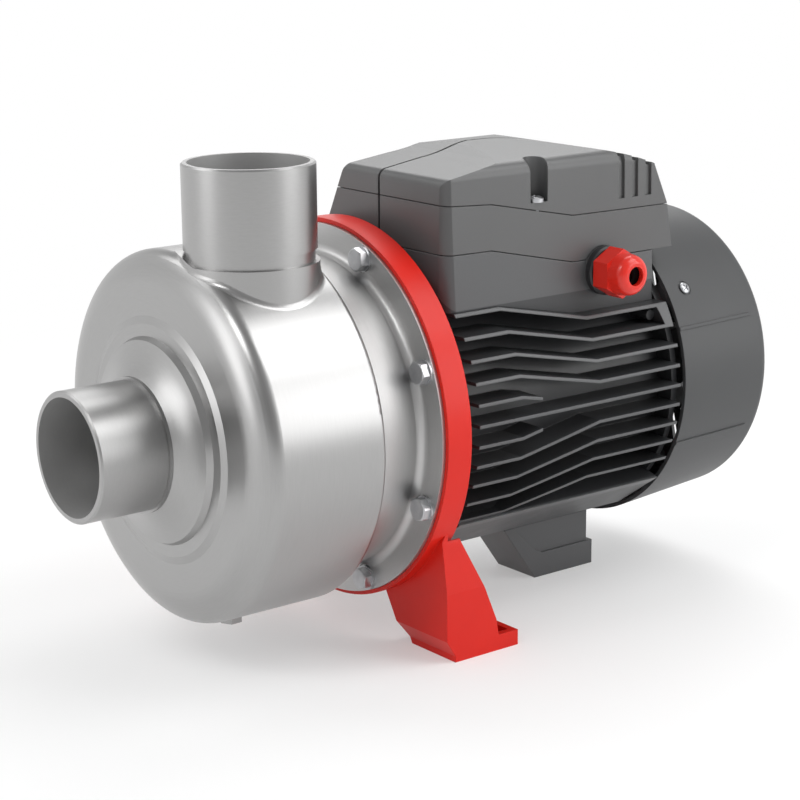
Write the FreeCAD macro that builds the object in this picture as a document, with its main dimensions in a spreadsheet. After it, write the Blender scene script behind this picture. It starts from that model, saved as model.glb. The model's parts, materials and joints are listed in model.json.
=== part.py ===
import FreeCAD, Part
import math
import os
import Sketcher

# Centrifugal pump with a pressed steel casing, close-coupled to a finned electric motor.
# The shaft lies along X. The suction stub points to -X, the discharge stub to +Z and the
# cable gland to -Y. The origin is on the floor, under the shaft, at the bracket's bolt holes.
#
# Every sub-part is drawn in pump coordinates: x is the distance behind the rim of the suction
# stub, y and z start on the shaft axis. stand() then moves the finished piece to the floor.

Vector = FreeCAD.Vector

# Driving dimensions in millimetres.
SIZES = {
    # overall
    "shaft_height": 109.0,
    "rim_to_foot": 173.0,
    # clearances
    "fit": 0.05,
    "play": 0.05,
    "face_gap": 0.3,
    # pipes
    "pipe_radius": 30.15,
    "pipe_wall": 2.8,
    "rim_bevel": 0.8,
    # casing front
    "casing_wall": 2.0,
    "stub_end": 33.5,
    "bead_radius": 31.5,
    "cone_start": 35.2,
    "cone_end": 42.2,
    "cone_radius": 47.0,
    "emboss_front": 45.2,
    "emboss_inner": 48.4,
    "emboss_outer": 54.0,
    "face_front": 46.5,
    "face_inner": 57.6,
    # casing drum, neck and flange
    "drum_radius": 87.1,
    "crown_round": 22.0,
    "shoulder_round": 7.5,
    "drum_end": 112.0,
    "drum_end_round": 3.0,
    "neck_start": 113.6,
    "neck_step": 6.8,
    "neck_end_step": 11.1,
    "weld_lip": 3.0,
    "flange_front": 140.5,
    "flange_thick": 2.5,
    "flange_rim": 2.9,
    "flange_round": 4.0,
    # discharge
    "outlet_x": 82.7,
    "outlet_y": 25.5,
    "outlet_length": 44.3,
    "outlet_foot": 1.4,
    "outlet_undercut": 1.1,
    "collar_drop": 4.1,
    "collar_radius": 31.2,
    "collar_flare": 3.5,
    # drain
    "drain_x": 83.0,
    "drain_boss_radius": 6.5,
    "drain_boss": 4.0,
    "drain_thread": 4.0,
    "drain_head_flats": 10.0,
    "drain_head": 3.5,
    "drain_washer": 0.8,
    # flange joint
    "bolt_inset": 6.2,
    "bolt_radius": 3.0,
    "bolt_flats": 10.0,
    "bolt_head": 4.0,
    "bolt_washer_radius": 6.0,
    "bolt_washer": 1.2,
    "spot_radius": 6.6,
    "gasket_thick": 1.0,
    "gasket_step": 9.6,
    "seal_plate_thick": 2.5,
    "plate_inset": 0.6,
    # bracket
    "ring_rim": 2.1,
    "ring_front": 142.3,
    "ring_rear": 155.9,
    "web_thick": 5.4,
    "web_step": 8.1,
    "spigot_length": 4.0,
    "spigot_wall": 5.0,
    "bearing_boss": 30.0,
    "boss_end": 177.5,
    "leg_front": 148.5,
    "leg_wall": 3.5,
    "leg_side": 83.0,
    "leg_inner": 50.0,
    "leg_base_rear": 192.0,
    "leg_lip": 7.6,
    "leg_floor": 4.0,
    "leg_hole_y": 66.5,
    "leg_hole_radius": 4.5,
    # bearings
    "front_bearing_bore": 10.0,
    "front_bearing_radius": 23.5,
    "front_bearing_start": 162.5,
    "front_bearing_width": 14.0,
    "rear_bearing_bore": 7.5,
    "rear_bearing_radius": 17.5,
    "rear_bearing_start": 282.0,
    "rear_bearing_width": 11.0,
    "ball_share": 0.27,
    # shaft line
    "shaft_nose": 5.0,
    "shaft_wet": 7.0,
    "shaft_seal": 8.0,
    "shaft_rotor": 13.0,
    "shaft_tail": 6.5,
    "impeller_start": 88.0,
    "impeller_end": 129.0,
    "impeller_radius": 64.0,
    "shroud_thick": 3.0,
    "vane_height": 26.0,
    "vane_thick": 3.0,
    "hub_radius": 13.0,
    "nut_flats": 17.0,
    "nut_length": 7.0,
    "key_width": 4.0,
    "key_length": 14.0,
    # shaft seal
    "seat_radius": 15.0,
    "seat_front": 139.6,
    "seat_length": 5.0,
    "seat_bore": 9.2,
    "seal_face_gap": 0.1,
    "head_length": 5.0,
    "head_radius": 13.5,
    "bellows_radius": 12.0,
    "slinger_start": 152.5,
    "slinger_length": 3.0,
    # motor
    "housing_bore": 60.0,
    "housing_radius": 65.0,
    "fin_radius": 81.0,
    "fin_start": 170.0,
    "housing_end": 300.0,
    "fin_bend_front": 197.0,
    "fin_bend_rear": 246.0,
    "fin_pitch": 9.9,
    "fin_centre": 1.6,
    "fin_thick": 1.6,
    "fin_stub": 209.0,
    "belly_depth": 69.0,
    "belly_half": 38.0,
    "belly_side": 66.0,
    "belly_top": 49.5,
    "stack_start": 204.0,
    "stack_length": 66.0,
    "stator_bore": 34.3,
    "air_gap": 0.3,
    "winding_length": 16.0,
    "end_ring_length": 6.0,
    # rear end
    "shield_thick": 3.5,
    "shield_step": 3.0,
    "shield_radius": 74.6,
    "shield_lug": 6.5,
    "screw_radius": 2.0,
    "box_screw": 1.8,
    "capacitor_radius": 14.0,
    "shield_boss": 23.0,
    "lug_x": 317.0,
    "lug_angle": 54.7,
    "cover_start": 304.0,
    "cover_radius": 80.5,
    "cover_rear_radius": 76.6,
    "cover_rear": 369.0,
    "cover_round": 6.0,
    "cover_wall": 2.0,
    "grille_inner": 26.0,
    "grille_outer": 64.0,
    "grille_slot": 3.2,
    "fan_start": 311.0,
    "fan_length": 28.0,
    "fan_radius": 66.0,
    "fan_hub": 14.0,
    # motor foot
    "band_height": 1.2,
    "band_width": 5.6,
    "foot_half": 13.5,
    "foot_front": 236.0,
    "foot_toe": 262.8,
    "foot_rear": 303.0,
    "foot_wall": 3.0,
    "foot_screw": 2.5,
    # terminal box
    "box_front": 166.5,
    "box_near": 61.5,
    "box_rear": 298.0,
    "box_wall": 3.0,
    "box_bend_front": 194.0,
    "box_bend_rear": 245.0,
    "seam_front": 79.0,
    "seam_rear": 67.2,
    "cover_seam_front": 102.2,
    "cover_seam_rear": 89.8,
    "seam_gap": 0.4,
    "crown": 123.4,
    "corner_round": 7.0,
    "edge_round": 6.4,
    "ridge_side": -10.0,
    "recess_x": 223.5,
    "recess_radius": 6.0,
    "recess_floor": 98.5,
    # gland
    "gland_x": 264.0,
    "gland_z": 61.5,
    "gland_flats": 21.2,
    "gland_neck": 8.0,
    "gland_hole": 4.7,
    "gland_face": 62.2,
    "gland_tip": 85.0,
}

# Stations of the two screws that hold the motor foot.
FOOT_SCREWS = (264.0, 286.0)

COUNTS = {
    "flange_bolts": 8,
    "vanes": 6,
    "fan_blades": 9,
    "grille_slots": 28,
    "front_balls": 8,
    "rear_balls": 8,
}


class Dim:
    """A size that carries its value and the sheet formula that it comes from."""

    def __init__(self, value, text):
        self.value = value
        self.text = text

    def join(self, sign, other, value):
        return Dim(value, "(%s %s %s)" % (self.text, sign, other.text))

    def __add__(self, other):
        other = as_dim(other)
        return self.join("+", other, self.value + other.value)

    def __radd__(self, other):
        return as_dim(other) + self

    def __sub__(self, other):
        other = as_dim(other)
        return self.join("-", other, self.value - other.value)

    def __rsub__(self, other):
        return as_dim(other) - self

    def __mul__(self, other):
        other = as_dim(other)
        return self.join("*", other, self.value * other.value)

    def __rmul__(self, other):
        return as_dim(other) * self

    def __truediv__(self, other):
        other = as_dim(other)
        return self.join("/", other, self.value / other.value)

    def __neg__(self):
        return as_dim(0) - self


def as_dim(item):
    return item if isinstance(item, Dim) else Dim(float(item), "%.6f" % item)


doc = FreeCAD.newDocument("centrifugal_pump")
sheet = doc.addObject("Spreadsheet::Sheet", "Sizes")
for row, (name, number) in enumerate(SIZES.items(), 1):
    sheet.set("A%d" % row, name)
    sheet.set("B%d" % row, str(number))
    sheet.setAlias("B%d" % row, name)
doc.recompute()


class Table:
    """Gives each driving dimension as an attribute."""


D = Table()
for name, number in SIZES.items():
    setattr(D, name, Dim(number, "Sizes." + name))

nodes = []


# Helpers: placing, sketching and the basic features.

def bind(item, path, size):
    item.setExpression(path, as_dim(size).text)


def shift(item, x=0, y=0, z=0):
    """Places an item by its origin, in pump coordinates."""
    bind(item, "Placement.Base.x", x)
    bind(item, "Placement.Base.y", y)
    bind(item, "Placement.Base.z", z)
    return item


def stand(item, label, x=0, y=0, z=0):
    """Sets a finished sub-part on the floor and keeps it as a node of its own."""
    item.Label = label
    shift(item, x - D.rim_to_foot, y, z + D.shaft_height)
    nodes.append(item)
    return item


def new_body(name):
    return doc.addObject("PartDesign::Body", name)


def origin_feature(body, role):
    return next(item for item in body.Origin.OriginFeatures if item.Role == role)


def new_sketch(body, role, station):
    sketch = body.newObject("Sketcher::SketchObject", body.Name + "_sketch")
    sketch.AttachmentSupport = (origin_feature(body, role), [""])
    sketch.MapMode = "FlatFace"
    bind(sketch, "AttachmentOffset.Base.z", station)
    return sketch


def arc_through(start, end, radius):
    """Arc from start to end; a positive radius bulges to the left of the way along."""
    across = end - start
    half = across.Length / 2
    rise = abs(radius) - math.sqrt(max(radius * radius - half * half, 0))
    left = Vector(-across.y, across.x, 0).normalize()
    via = (start + end) / 2 + left * math.copysign(rise, radius)
    if radius > 0:
        return Part.ArcOfCircle(end, via, start)
    return Part.ArcOfCircle(start, via, end)


def draw(sketch, points):
    """Closed outline. A point is (across, up), and a third entry makes the side that
    follows it an arc of that radius. Every corner is tied to the sheet."""
    corners = [Vector(as_dim(p[0]).value, as_dim(p[1]).value, 0) for p in points]
    first = sketch.GeometryCount
    starts = []
    for index, point in enumerate(points):
        here = corners[index]
        there = corners[(index + 1) % len(points)]
        if len(point) == 3:
            sketch.addGeometry(arc_through(here, there, as_dim(point[2]).value), False)
            starts.append(2 if as_dim(point[2]).value > 0 else 1)
        else:
            sketch.addGeometry(Part.LineSegment(here, there), False)
            starts.append(1)
    rules = []
    ties = []
    for index, point in enumerate(points):
        side = first + index
        before = first + (index - 1) % len(points)
        end_before = 3 - starts[(index - 1) % len(points)]
        rules.append(Sketcher.Constraint("Coincident", before, end_before, side, starts[index]))
        for kind, entry in (("DistanceX", point[0]), ("DistanceY", point[1])):
            ties.append((len(rules), as_dim(entry)))
            rules.append(Sketcher.Constraint(kind, -1, 1, side, starts[index],
                                             as_dim(entry).value))
        if len(point) == 3:
            reach = as_dim(point[2])
            ties.append((len(rules), reach if reach.value > 0 else -reach))
            rules.append(Sketcher.Constraint("Radius", side, abs(reach.value)))
    offset = sketch.ConstraintCount
    sketch.addConstraint(rules)
    for index, size in ties:
        if "Sizes." in size.text:
            sketch.setExpression("Constraints[%d]" % (offset + index), size.text)


def draw_circle(sketch, across, up, radius):
    centre = Vector(as_dim(across).value, as_dim(up).value, 0)
    side = sketch.GeometryCount
    sketch.addGeometry(Part.Circle(centre, Vector(0, 0, 1), as_dim(radius).value), False)
    for kind, entry in (("DistanceX", across), ("DistanceY", up)):
        sketch.addConstraint(Sketcher.Constraint(kind, -1, 1, side, 3, as_dim(entry).value))
        bind(sketch, "Constraints[%d]" % (sketch.ConstraintCount - 1), entry)
    sketch.addConstraint(Sketcher.Constraint("Radius", side, as_dim(radius).value))
    bind(sketch, "Constraints[%d]" % (sketch.ConstraintCount - 1), radius)


def feature(body, kind, sketch):
    made = body.newObject("PartDesign::" + kind, "%s_%s" % (body.Name, kind.lower()))
    made.Profile = sketch
    sketch.Visibility = False
    return made


def pad(body, role, station, length, outlines=(), circles=(), kind="Pad", back=False):
    """Pad or Pocket of outlines and circles drawn at a station along the plane's normal."""
    sketch = new_sketch(body, role, station)
    for points in outlines:
        draw(sketch, points)
    for across, up, radius in circles:
        draw_circle(sketch, across, up, radius)
    made = feature(body, kind, sketch)
    bind(made, "Length", length)
    made.Reversed = back
    return made


def turned(name, points, axis="H_Axis", role="XZ_Plane"):
    """Body of revolution; by default about the shaft axis, from (x, radius) points."""
    body = new_body(name)
    sketch = new_sketch(body, role, 0)
    draw(sketch, points)
    made = feature(body, "Revolution", sketch)
    made.ReferenceAxis = (sketch, [axis])
    made.Angle = 360
    return body


def ring(name, start, end, inner, outer):
    """Plain ring about the shaft axis."""
    return turned(name, [(start, inner), (end, inner), (end, outer), (start, outer)])


def polar(body, features, count):
    """Repeats features of a body round the shaft axis."""
    pattern = body.newObject("PartDesign::PolarPattern", body.Name + "_pattern")
    pattern.Originals = features
    pattern.Axis = (origin_feature(body, "X_Axis"), [""])
    pattern.Angle = 360
    pattern.Occurrences = count
    body.Tip = pattern
    return pattern


def hexagon(across, up, flats, turn=0.0):
    """Corners of a hexagon by its width across flats."""
    corner = flats / math.sqrt(3)
    angles = [math.radians(turn + 60 * step) for step in range(6)]
    return [(across + corner * math.cos(a), up + corner * math.sin(a)) for a in angles]


def on_circle(radius, degrees):
    """Point (y, z) on a circle about the shaft, measured from the top towards -Y."""
    angle = math.radians(degrees)
    return -radius * math.sin(angle), radius * math.cos(angle)


def cylinder(name, axis, radius, length, x=0, y=0, z=0):
    """Part cylinder that starts at a point and runs along +X, -Y or +Z."""
    made = doc.addObject("Part::Cylinder", name)
    bind(made, "Radius", radius)
    bind(made, "Height", length)
    turns = {"X": (Vector(0, 1, 0), 90), "-Y": (Vector(1, 0, 0), 90), "Z": (Vector(0, 0, 1), 0)}
    made.Placement = FreeCAD.Placement(Vector(), FreeCAD.Rotation(*turns[axis]))
    return shift(made, x, y, z)


def box(name, x, y, z, length, width, height):
    """Part box from its lowest corner."""
    made = doc.addObject("Part::Box", name)
    bind(made, "Length", length)
    bind(made, "Width", width)
    bind(made, "Height", height)
    return shift(made, x, y, z)


def cut(name, base, *tools):
    tool = tools[0] if len(tools) == 1 else fuse(name + "_tools", *tools)
    made = doc.addObject("Part::Cut", name)
    made.Base = base
    made.Tool = tool
    return made


def fuse(name, *items):
    made = doc.addObject("Part::MultiFuse", name)
    made.Shapes = list(items)
    return made


def common(name, *items):
    made = doc.addObject("Part::MultiCommon", name)
    made.Shapes = list(items)
    return made


def mirrored(name, item):
    """Copy on the other side of the pump's upright middle plane."""
    made = doc.addObject("Part::Mirroring", name)
    made.Source = item
    made.Base = Vector(0, 0, 0)
    made.Normal = Vector(0, 1, 0)
    return made


# Pump casing: a pressed drum with an embossed front, a neck and a flange.

pipe_bore = D.pipe_radius - D.pipe_wall
# The drum's front corner is two arcs, a wide one and then a tight one. They share a tangent at
# the bend, where the way out of the sheet leads 4 parts along the shaft to 3 across it.
bend_along = 4 / 5
bend_across = 3 / 5
bend_x = D.face_front + D.crown_round * (1 - bend_along)
bend_r = D.drum_radius - D.shoulder_round * (1 - bend_across)
crown_r = bend_r - D.crown_round * bend_across
shoulder_x = bend_x + D.shoulder_round * bend_along
flange_rear = D.flange_front + D.flange_thick
flange_radius = D.drum_radius + D.flange_rim
neck_radius = D.drum_radius - D.neck_step
neck_end_radius = D.drum_radius - D.neck_end_step
collar_top = D.drum_radius - D.collar_drop
outlet_top = collar_top + D.outlet_length
drain_boss_end = D.drum_radius + D.drain_boss
neck_end = D.flange_front - D.flange_round

casing_form = turned("casing_form", [
    (D.stub_end, 0),
    (D.stub_end, D.bead_radius),
    (D.cone_start, D.bead_radius, -40),
    (D.cone_end, D.cone_radius),
    (D.emboss_front, D.emboss_inner),
    (D.emboss_front, D.emboss_outer),
    (D.face_front, D.face_inner),
    (D.face_front, crown_r, D.crown_round),
    (bend_x, bend_r, D.shoulder_round),
    (shoulder_x, D.drum_radius),
    (D.flange_front, D.drum_radius),
    (D.flange_front, flange_radius),
    (flange_rear, flange_radius),
    (flange_rear, 0),
])
collar_height = collar_top + 20
collar = pad(casing_form, "XY_Plane", 0, collar_height,
             circles=[(D.outlet_x, -D.outlet_y, D.collar_radius)])
doc.recompute()


def around_collar(edge):
    """True for the edges where the collar leaves the drum."""
    for point in edge.discretize(5):
        reach = math.hypot(point.x - D.outlet_x.value, point.y + D.outlet_y.value)
        if abs(reach - D.collar_radius.value) > 0.01 or point.z > collar_height.value - 1:
            return False
    return edge.BoundBox.ZMin > 0


flare_edges = ["Edge%d" % number for number, edge in enumerate(collar.Shape.Edges, 1)
               if around_collar(edge)]
flare = casing_form.newObject("PartDesign::Fillet", "collar_flare")
flare.Base = (collar, flare_edges)
bind(flare, "Radius", D.collar_flare)
casing_form.Tip = flare

# What lies behind the drum, down to the neck; the collar itself stays whole.
neck_space = turned("neck_space", [
    (D.drum_end - D.drum_end_round, D.drum_radius, D.drum_end_round),
    (D.drum_end, D.drum_radius - D.drum_end_round),
    (D.neck_start, neck_radius),
    (neck_end, neck_end_radius, -D.flange_round),
    (D.flange_front, neck_end_radius + D.flange_round),
    (D.flange_front, flange_radius + 2),
    (D.drum_end - D.drum_end_round, flange_radius + 2),
])
flare_radius = D.collar_radius + D.collar_flare
flare_keep = cylinder("flare_keep", "Z", D.collar_radius + 0.4, flange_radius + 10,
                      D.outlet_x, -D.outlet_y)
neck_cut = cut("neck_cut", neck_space, flare_keep)

# The collar ends level; above it only the drum itself stays.
drum_form = cylinder("drum_form", "X", D.drum_radius, D.drum_end + 10, D.stub_end)
collar_over = cylinder("collar_over", "Z", flare_radius + 4, collar_height, D.outlet_x,
                       -D.outlet_y, collar_top)
collar_trim = cut("collar_trim", collar_over, drum_form)

inner_radius = D.drum_radius - D.casing_wall
inner_end = D.drum_end - D.casing_wall
cavity = turned("cavity", [
    (D.stub_end - 1, 0),
    (D.stub_end - 1, pipe_bore),
    (D.cone_start + D.casing_wall, pipe_bore, -40),
    (D.cone_end + D.casing_wall, D.cone_radius - D.casing_wall),
    (D.emboss_front + D.casing_wall, D.emboss_inner - D.casing_wall),
    (D.emboss_front + D.casing_wall, D.emboss_outer),
    (D.face_front + D.casing_wall, D.face_inner),
    (D.face_front + D.casing_wall, crown_r, D.crown_round - D.casing_wall),
    (bend_x + D.casing_wall * bend_along, bend_r - D.casing_wall * bend_across,
     D.shoulder_round - D.casing_wall),
    (shoulder_x, inner_radius),
    (inner_end, inner_radius),
    (D.neck_start - D.casing_wall, neck_radius - D.casing_wall),
    (neck_end, neck_end_radius - D.casing_wall),
    (flange_rear + 1, neck_end_radius - D.casing_wall),
    (flange_rear + 1, 0),
])
outlet_bore = cylinder("outlet_bore", "Z", pipe_bore, collar_height, D.outlet_x, -D.outlet_y)
outlet_root = D.pipe_radius - D.outlet_undercut
outlet_seat = cylinder("outlet_seat", "Z", outlet_root + D.fit, collar_height, D.outlet_x,
                       -D.outlet_y, collar_top)
drain_boss = cylinder("drain_boss", "Z", D.drain_boss_radius, drain_boss_end / 2, D.drain_x,
                      0, -drain_boss_end)
drain_bore = cylinder("drain_bore", "Z", D.drain_thread + D.play, drain_boss_end / 2,
                      D.drain_x, 0, -drain_boss_end)

bolt_count = COUNTS["flange_bolts"]
bolt_angles = [360 / bolt_count * (step + 0.5) for step in range(bolt_count)]
bolt_circle = flange_radius - D.bolt_inset
bolt_places = [on_circle(bolt_circle, angle) for angle in bolt_angles]
bolt_holes = new_body("bolt_holes")
pad(bolt_holes, "YZ_Plane", D.flange_front - 1, D.flange_thick + 2,
    circles=[(y, z, D.bolt_radius + D.face_gap) for y, z in bolt_places])
bolt_spots = new_body("bolt_spots")
pad(bolt_spots, "YZ_Plane", D.flange_front - 7, 7,
    circles=[(y, z, D.spot_radius) for y, z in bolt_places])

casing_solid = fuse("casing_solid", casing_form, drain_boss)
casing_shell = cut("casing_shell", casing_solid, neck_cut, collar_trim, cavity, outlet_bore,
                   outlet_seat, drain_bore, bolt_holes, bolt_spots)

# The casing is two pressings: the drum, and the neck with its flange, welded to its rear lip.
rear_space = cylinder("rear_space", "X", flange_radius + 10, D.flange_front,
                      D.drum_end + D.weld_lip)
stand(cut("drum_pressing", casing_shell, rear_space), "pump_casing")
stand(common("flange_pressing", casing_shell, rear_space), "casing_flange")

stand(turned("suction_pipe", [
    (0, pipe_bore),
    (D.stub_end, pipe_bore),
    (D.stub_end, D.pipe_radius),
    (D.rim_bevel, D.pipe_radius),
    (0, D.pipe_radius - D.rim_bevel),
]), "suction_pipe")
stand(turned("discharge_pipe", [
    (pipe_bore, collar_top),
    (outlet_root, collar_top),
    (outlet_root, D.drum_radius + D.outlet_foot),
    (D.pipe_radius, D.drum_radius + D.outlet_foot),
    (D.pipe_radius, outlet_top - D.rim_bevel),
    (D.pipe_radius - D.rim_bevel, outlet_top),
    (pipe_bore, outlet_top),
], "V_Axis"), "discharge_pipe", D.outlet_x, -D.outlet_y)

# Flange joint: gasket, seal plate, bolts and washers.

gasket_end = flange_rear + D.gasket_thick
plate_end = gasket_end + D.seal_plate_thick
plate_radius = flange_radius - D.plate_inset
gasket_inner = D.drum_radius - D.gasket_step
gasket_disc = ring("gasket_disc", flange_rear, gasket_end, gasket_inner, plate_radius)
gasket_holes = new_body("gasket_holes")
pad(gasket_holes, "YZ_Plane", flange_rear - 1, D.gasket_thick + 2,
    circles=[(y, z, D.bolt_radius + D.fit) for y, z in bolt_places])
stand(cut("casing_gasket", gasket_disc, gasket_holes), "casing_gasket")

seat_end = D.seat_front + D.seat_length
cup_radius = D.seat_radius + D.seal_plate_thick
plate_disc = turned("plate_disc", [
    (seat_end, D.seat_bore),
    (plate_end, D.seat_bore),
    (plate_end, plate_radius),
    (gasket_end, plate_radius),
    (gasket_end, cup_radius + 3, 3),
    (gasket_end - 3, cup_radius),
    (D.seat_front + 1, cup_radius),
    (D.seat_front + 1, D.seat_radius + D.fit),
    (seat_end, D.seat_radius + D.fit),
])
plate_holes = new_body("plate_holes")
pad(plate_holes, "YZ_Plane", gasket_end - 1, D.seal_plate_thick + 2,
    circles=[(y, z, D.bolt_radius + D.fit) for y, z in bolt_places])
stand(cut("seal_plate", plate_disc, plate_holes), "seal_plate")

washer_front = D.flange_front - D.bolt_washer
flange_bolts = new_body("flange_bolts")
head_y, head_z = on_circle(bolt_circle, bolt_angles[0])
bolt_head = pad(flange_bolts, "YZ_Plane", washer_front - D.bolt_head, D.bolt_head,
                outlines=[hexagon(head_y, head_z, D.bolt_flats, 20)])
bolt_shank = pad(flange_bolts, "YZ_Plane", washer_front - 1, D.ring_rear - washer_front,
                 circles=[(head_y, head_z, D.bolt_radius)])
polar(flange_bolts, [bolt_head, bolt_shank], bolt_count)
stand(flange_bolts, "flange_bolts")

flange_washers = new_body("flange_washers")
washer_disc = pad(flange_washers, "YZ_Plane", washer_front, D.bolt_washer,
                  circles=[(head_y, head_z, D.bolt_washer_radius),
                           (head_y, head_z, D.bolt_radius + D.fit)])
polar(flange_washers, [washer_disc], bolt_count)
stand(flange_washers, "flange_washers")

# Drain plug and its washer, screwed in from below.

drain_seat = -drain_boss_end - D.drain_washer
drain_plug = new_body("drain_plug")
pad(drain_plug, "XY_Plane", drain_seat - D.drain_head, D.drain_head,
    outlines=[hexagon(0, 0, D.drain_head_flats)])
pad(drain_plug, "XY_Plane", drain_seat - 1, 9, circles=[(0, 0, D.drain_thread)])
stand(drain_plug, "drain_plug", D.drain_x)
drain_washer = new_body("drain_washer")
pad(drain_washer, "XY_Plane", drain_seat, D.drain_washer,
    circles=[(0, 0, D.drain_boss_radius - 1), (0, 0, D.drain_thread + D.play)])
stand(drain_washer, "drain_washer", D.drain_x)

# Bracket: ring, web, spigot and bearing boss in one casting with two hollow feet.

spigot_radius = D.housing_bore - D.fit
ring_radius = flange_radius + D.ring_rim
ring_recess = flange_radius + 2 * D.fit
web_inner = D.drum_radius - D.web_step
bracket_ring = turned("bracket_ring", [
    (D.ring_front, ring_recess),
    (D.ring_front, ring_radius),
    (D.ring_rear, ring_radius),
    (D.ring_rear, spigot_radius),
    (D.ring_rear + D.spigot_length, spigot_radius),
    (D.ring_rear + D.spigot_length, spigot_radius - D.spigot_wall),
    (D.ring_rear, spigot_radius - D.spigot_wall - 2),
    (D.ring_rear, D.bearing_boss),
    (D.boss_end, D.bearing_boss),
    (D.boss_end, D.front_bearing_radius + D.fit),
    (D.front_bearing_start, D.front_bearing_radius + D.fit),
    (D.front_bearing_start, D.shaft_rotor),
    (D.ring_rear, D.shaft_rotor),
    (D.ring_rear - D.web_thick, D.bearing_boss),
    (D.ring_rear - D.web_thick, web_inner),
    (plate_end, web_inner),
    (plate_end, ring_recess),
])
leg_side_view = new_body("leg_side_view")
pad(leg_side_view, "XZ_Plane", D.leg_inner - 30, D.leg_side, outlines=[[
    (D.leg_front, -D.leg_inner),
    (D.leg_front, -D.shaft_height + 11),
    (D.leg_front + 5, -D.shaft_height + 3),
    (D.leg_front + 5, -D.shaft_height),
    (D.leg_base_rear, -D.shaft_height),
    (D.leg_base_rear, -D.shaft_height + D.leg_lip),
    (D.rim_to_foot + 7, -D.shaft_height + D.leg_lip),
    (D.rim_to_foot + 5.5, -D.shaft_height + 16),
    (D.rim_to_foot - 1.5, -D.shaft_height + 33),
    (D.ring_rear, -D.shaft_height + 65),
    (D.ring_rear, -D.leg_inner + 10),
]])
leg_front_view = new_body("leg_front_view")
pad(leg_front_view, "YZ_Plane", D.leg_front - 1, D.leg_base_rear - D.leg_front + 2, outlines=[[
    (-D.leg_side + 4, -46),
    (-D.leg_side, -D.shaft_height + 34),
    (-D.leg_side, -D.shaft_height),
    (-D.leg_inner, -D.shaft_height),
    (-D.leg_inner + 4, -D.shaft_height + 8),
    (-D.leg_inner + 14, -D.shaft_height + 25),
    (-D.leg_inner + 14, -65),
    (-65, -46),
]])
leg_blank = common("leg_blank", leg_side_view, leg_front_view)
leg_hollow = box("leg_hollow", D.leg_front + D.leg_wall, -D.leg_side + D.leg_wall,
                 -D.shaft_height + D.leg_lip, 60, D.leg_side, 80)
leg_tray = box("leg_tray", D.leg_front + 5 + D.leg_wall, -D.leg_side + D.leg_wall,
               -D.shaft_height + D.leg_floor, D.leg_base_rear - D.leg_front - 5 - 2 * D.leg_wall,
               D.leg_side - D.leg_inner - 2 * D.leg_wall, D.leg_lip)
leg_hole = cylinder("leg_hole", "Z", D.leg_hole_radius, 20, D.rim_to_foot, -D.leg_hole_y,
                    -D.shaft_height - 1)
ring_core = cylinder("ring_core", "X", ring_radius - 1, 40, D.leg_front - 1)
near_leg = cut("near_leg", leg_blank, leg_hollow, leg_tray, leg_hole, ring_core)
far_leg = mirrored("far_leg", near_leg)
bracket_holes = new_body("bracket_holes")
pad(bracket_holes, "YZ_Plane", plate_end - 1, D.ring_rear - plate_end + 2,
    circles=[(y, z, D.bolt_radius + D.fit) for y, z in bolt_places])
screw_circle = (D.housing_radius + web_inner) / 2
screw_places = [on_circle(screw_circle, angle) for angle in (45, 135, 225, 315)]
screw_holes = new_body("screw_holes")
pad(screw_holes, "YZ_Plane", D.ring_rear - D.web_thick - 1, D.web_thick + 2,
    circles=[(y, z, D.bolt_radius - 0.5 + D.fit) for y, z in screw_places])
bracket_casting = fuse("bracket_casting", bracket_ring, near_leg, far_leg)
stand(cut("motor_bracket", bracket_casting, bracket_holes, screw_holes), "motor_bracket")


def screws(name, places, seat, head_length, shank_length, radius, head_radius, rearward=True):
    """Round-head screws along the shaft, one at each (y, z) place. They point to the rear,
    or else to the front."""
    body = new_body(name)
    head_at = seat - head_length if rearward else seat
    shank_at = seat if rearward else seat - shank_length
    pad(body, "YZ_Plane", head_at, head_length, circles=[(y, z, head_radius) for y, z in places])
    pad(body, "YZ_Plane", shank_at, shank_length, circles=[(y, z, radius) for y, z in places])
    return body


stand(screws("bracket_screws", screw_places, D.ring_rear - D.web_thick, 2.5,
             D.web_thick + D.spigot_length + 4, D.bolt_radius - 0.5, 4.4), "bracket_screws")


# Ball bearings: outer ring, inner ring and a set of balls in each.

def bearing(name, start, width, bore, radius, ball_count):
    """Deep-groove ball bearing; the grooves clear the balls by the running play."""
    depth = radius - bore
    pitch = (radius + bore) / 2
    ball = depth * D.ball_share
    groove = ball + D.play
    half = groove * 0.8
    land = groove * 0.6
    middle = start + width / 2
    outer = turned(name + "_outer", [
        (start, pitch + land),
        (middle - half, pitch + land, groove),
        (middle + half, pitch + land),
        (start + width, pitch + land),
        (start + width, radius),
        (start, radius),
    ])
    inner = turned(name + "_inner", [
        (start, bore + D.fit),
        (start + width, bore + D.fit),
        (start + width, pitch - land),
        (middle + half, pitch - land, groove),
        (middle - half, pitch - land),
        (start, pitch - land),
    ])
    stand(outer, name + "_outer")
    stand(inner, name + "_inner")
    spheres = []
    for step in range(ball_count):
        sphere = doc.addObject("Part::Sphere", "%s_ball_%d" % (name, step + 1))
        bind(sphere, "Radius", ball)
        y, z = on_circle(pitch, 360 / ball_count * step)
        spheres.append(shift(sphere, middle, y, z))
    stand(fuse(name + "_balls", *spheres), name + "_balls")


bearing("front_bearing", D.front_bearing_start, D.front_bearing_width, D.front_bearing_bore,
        D.front_bearing_radius, COUNTS["front_balls"])
bearing("rear_bearing", D.rear_bearing_start, D.rear_bearing_width, D.rear_bearing_bore,
        D.rear_bearing_radius, COUNTS["rear_balls"])

# Shaft line: shaft, impeller with its nut, washer and key, mechanical seal and slinger.

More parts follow.
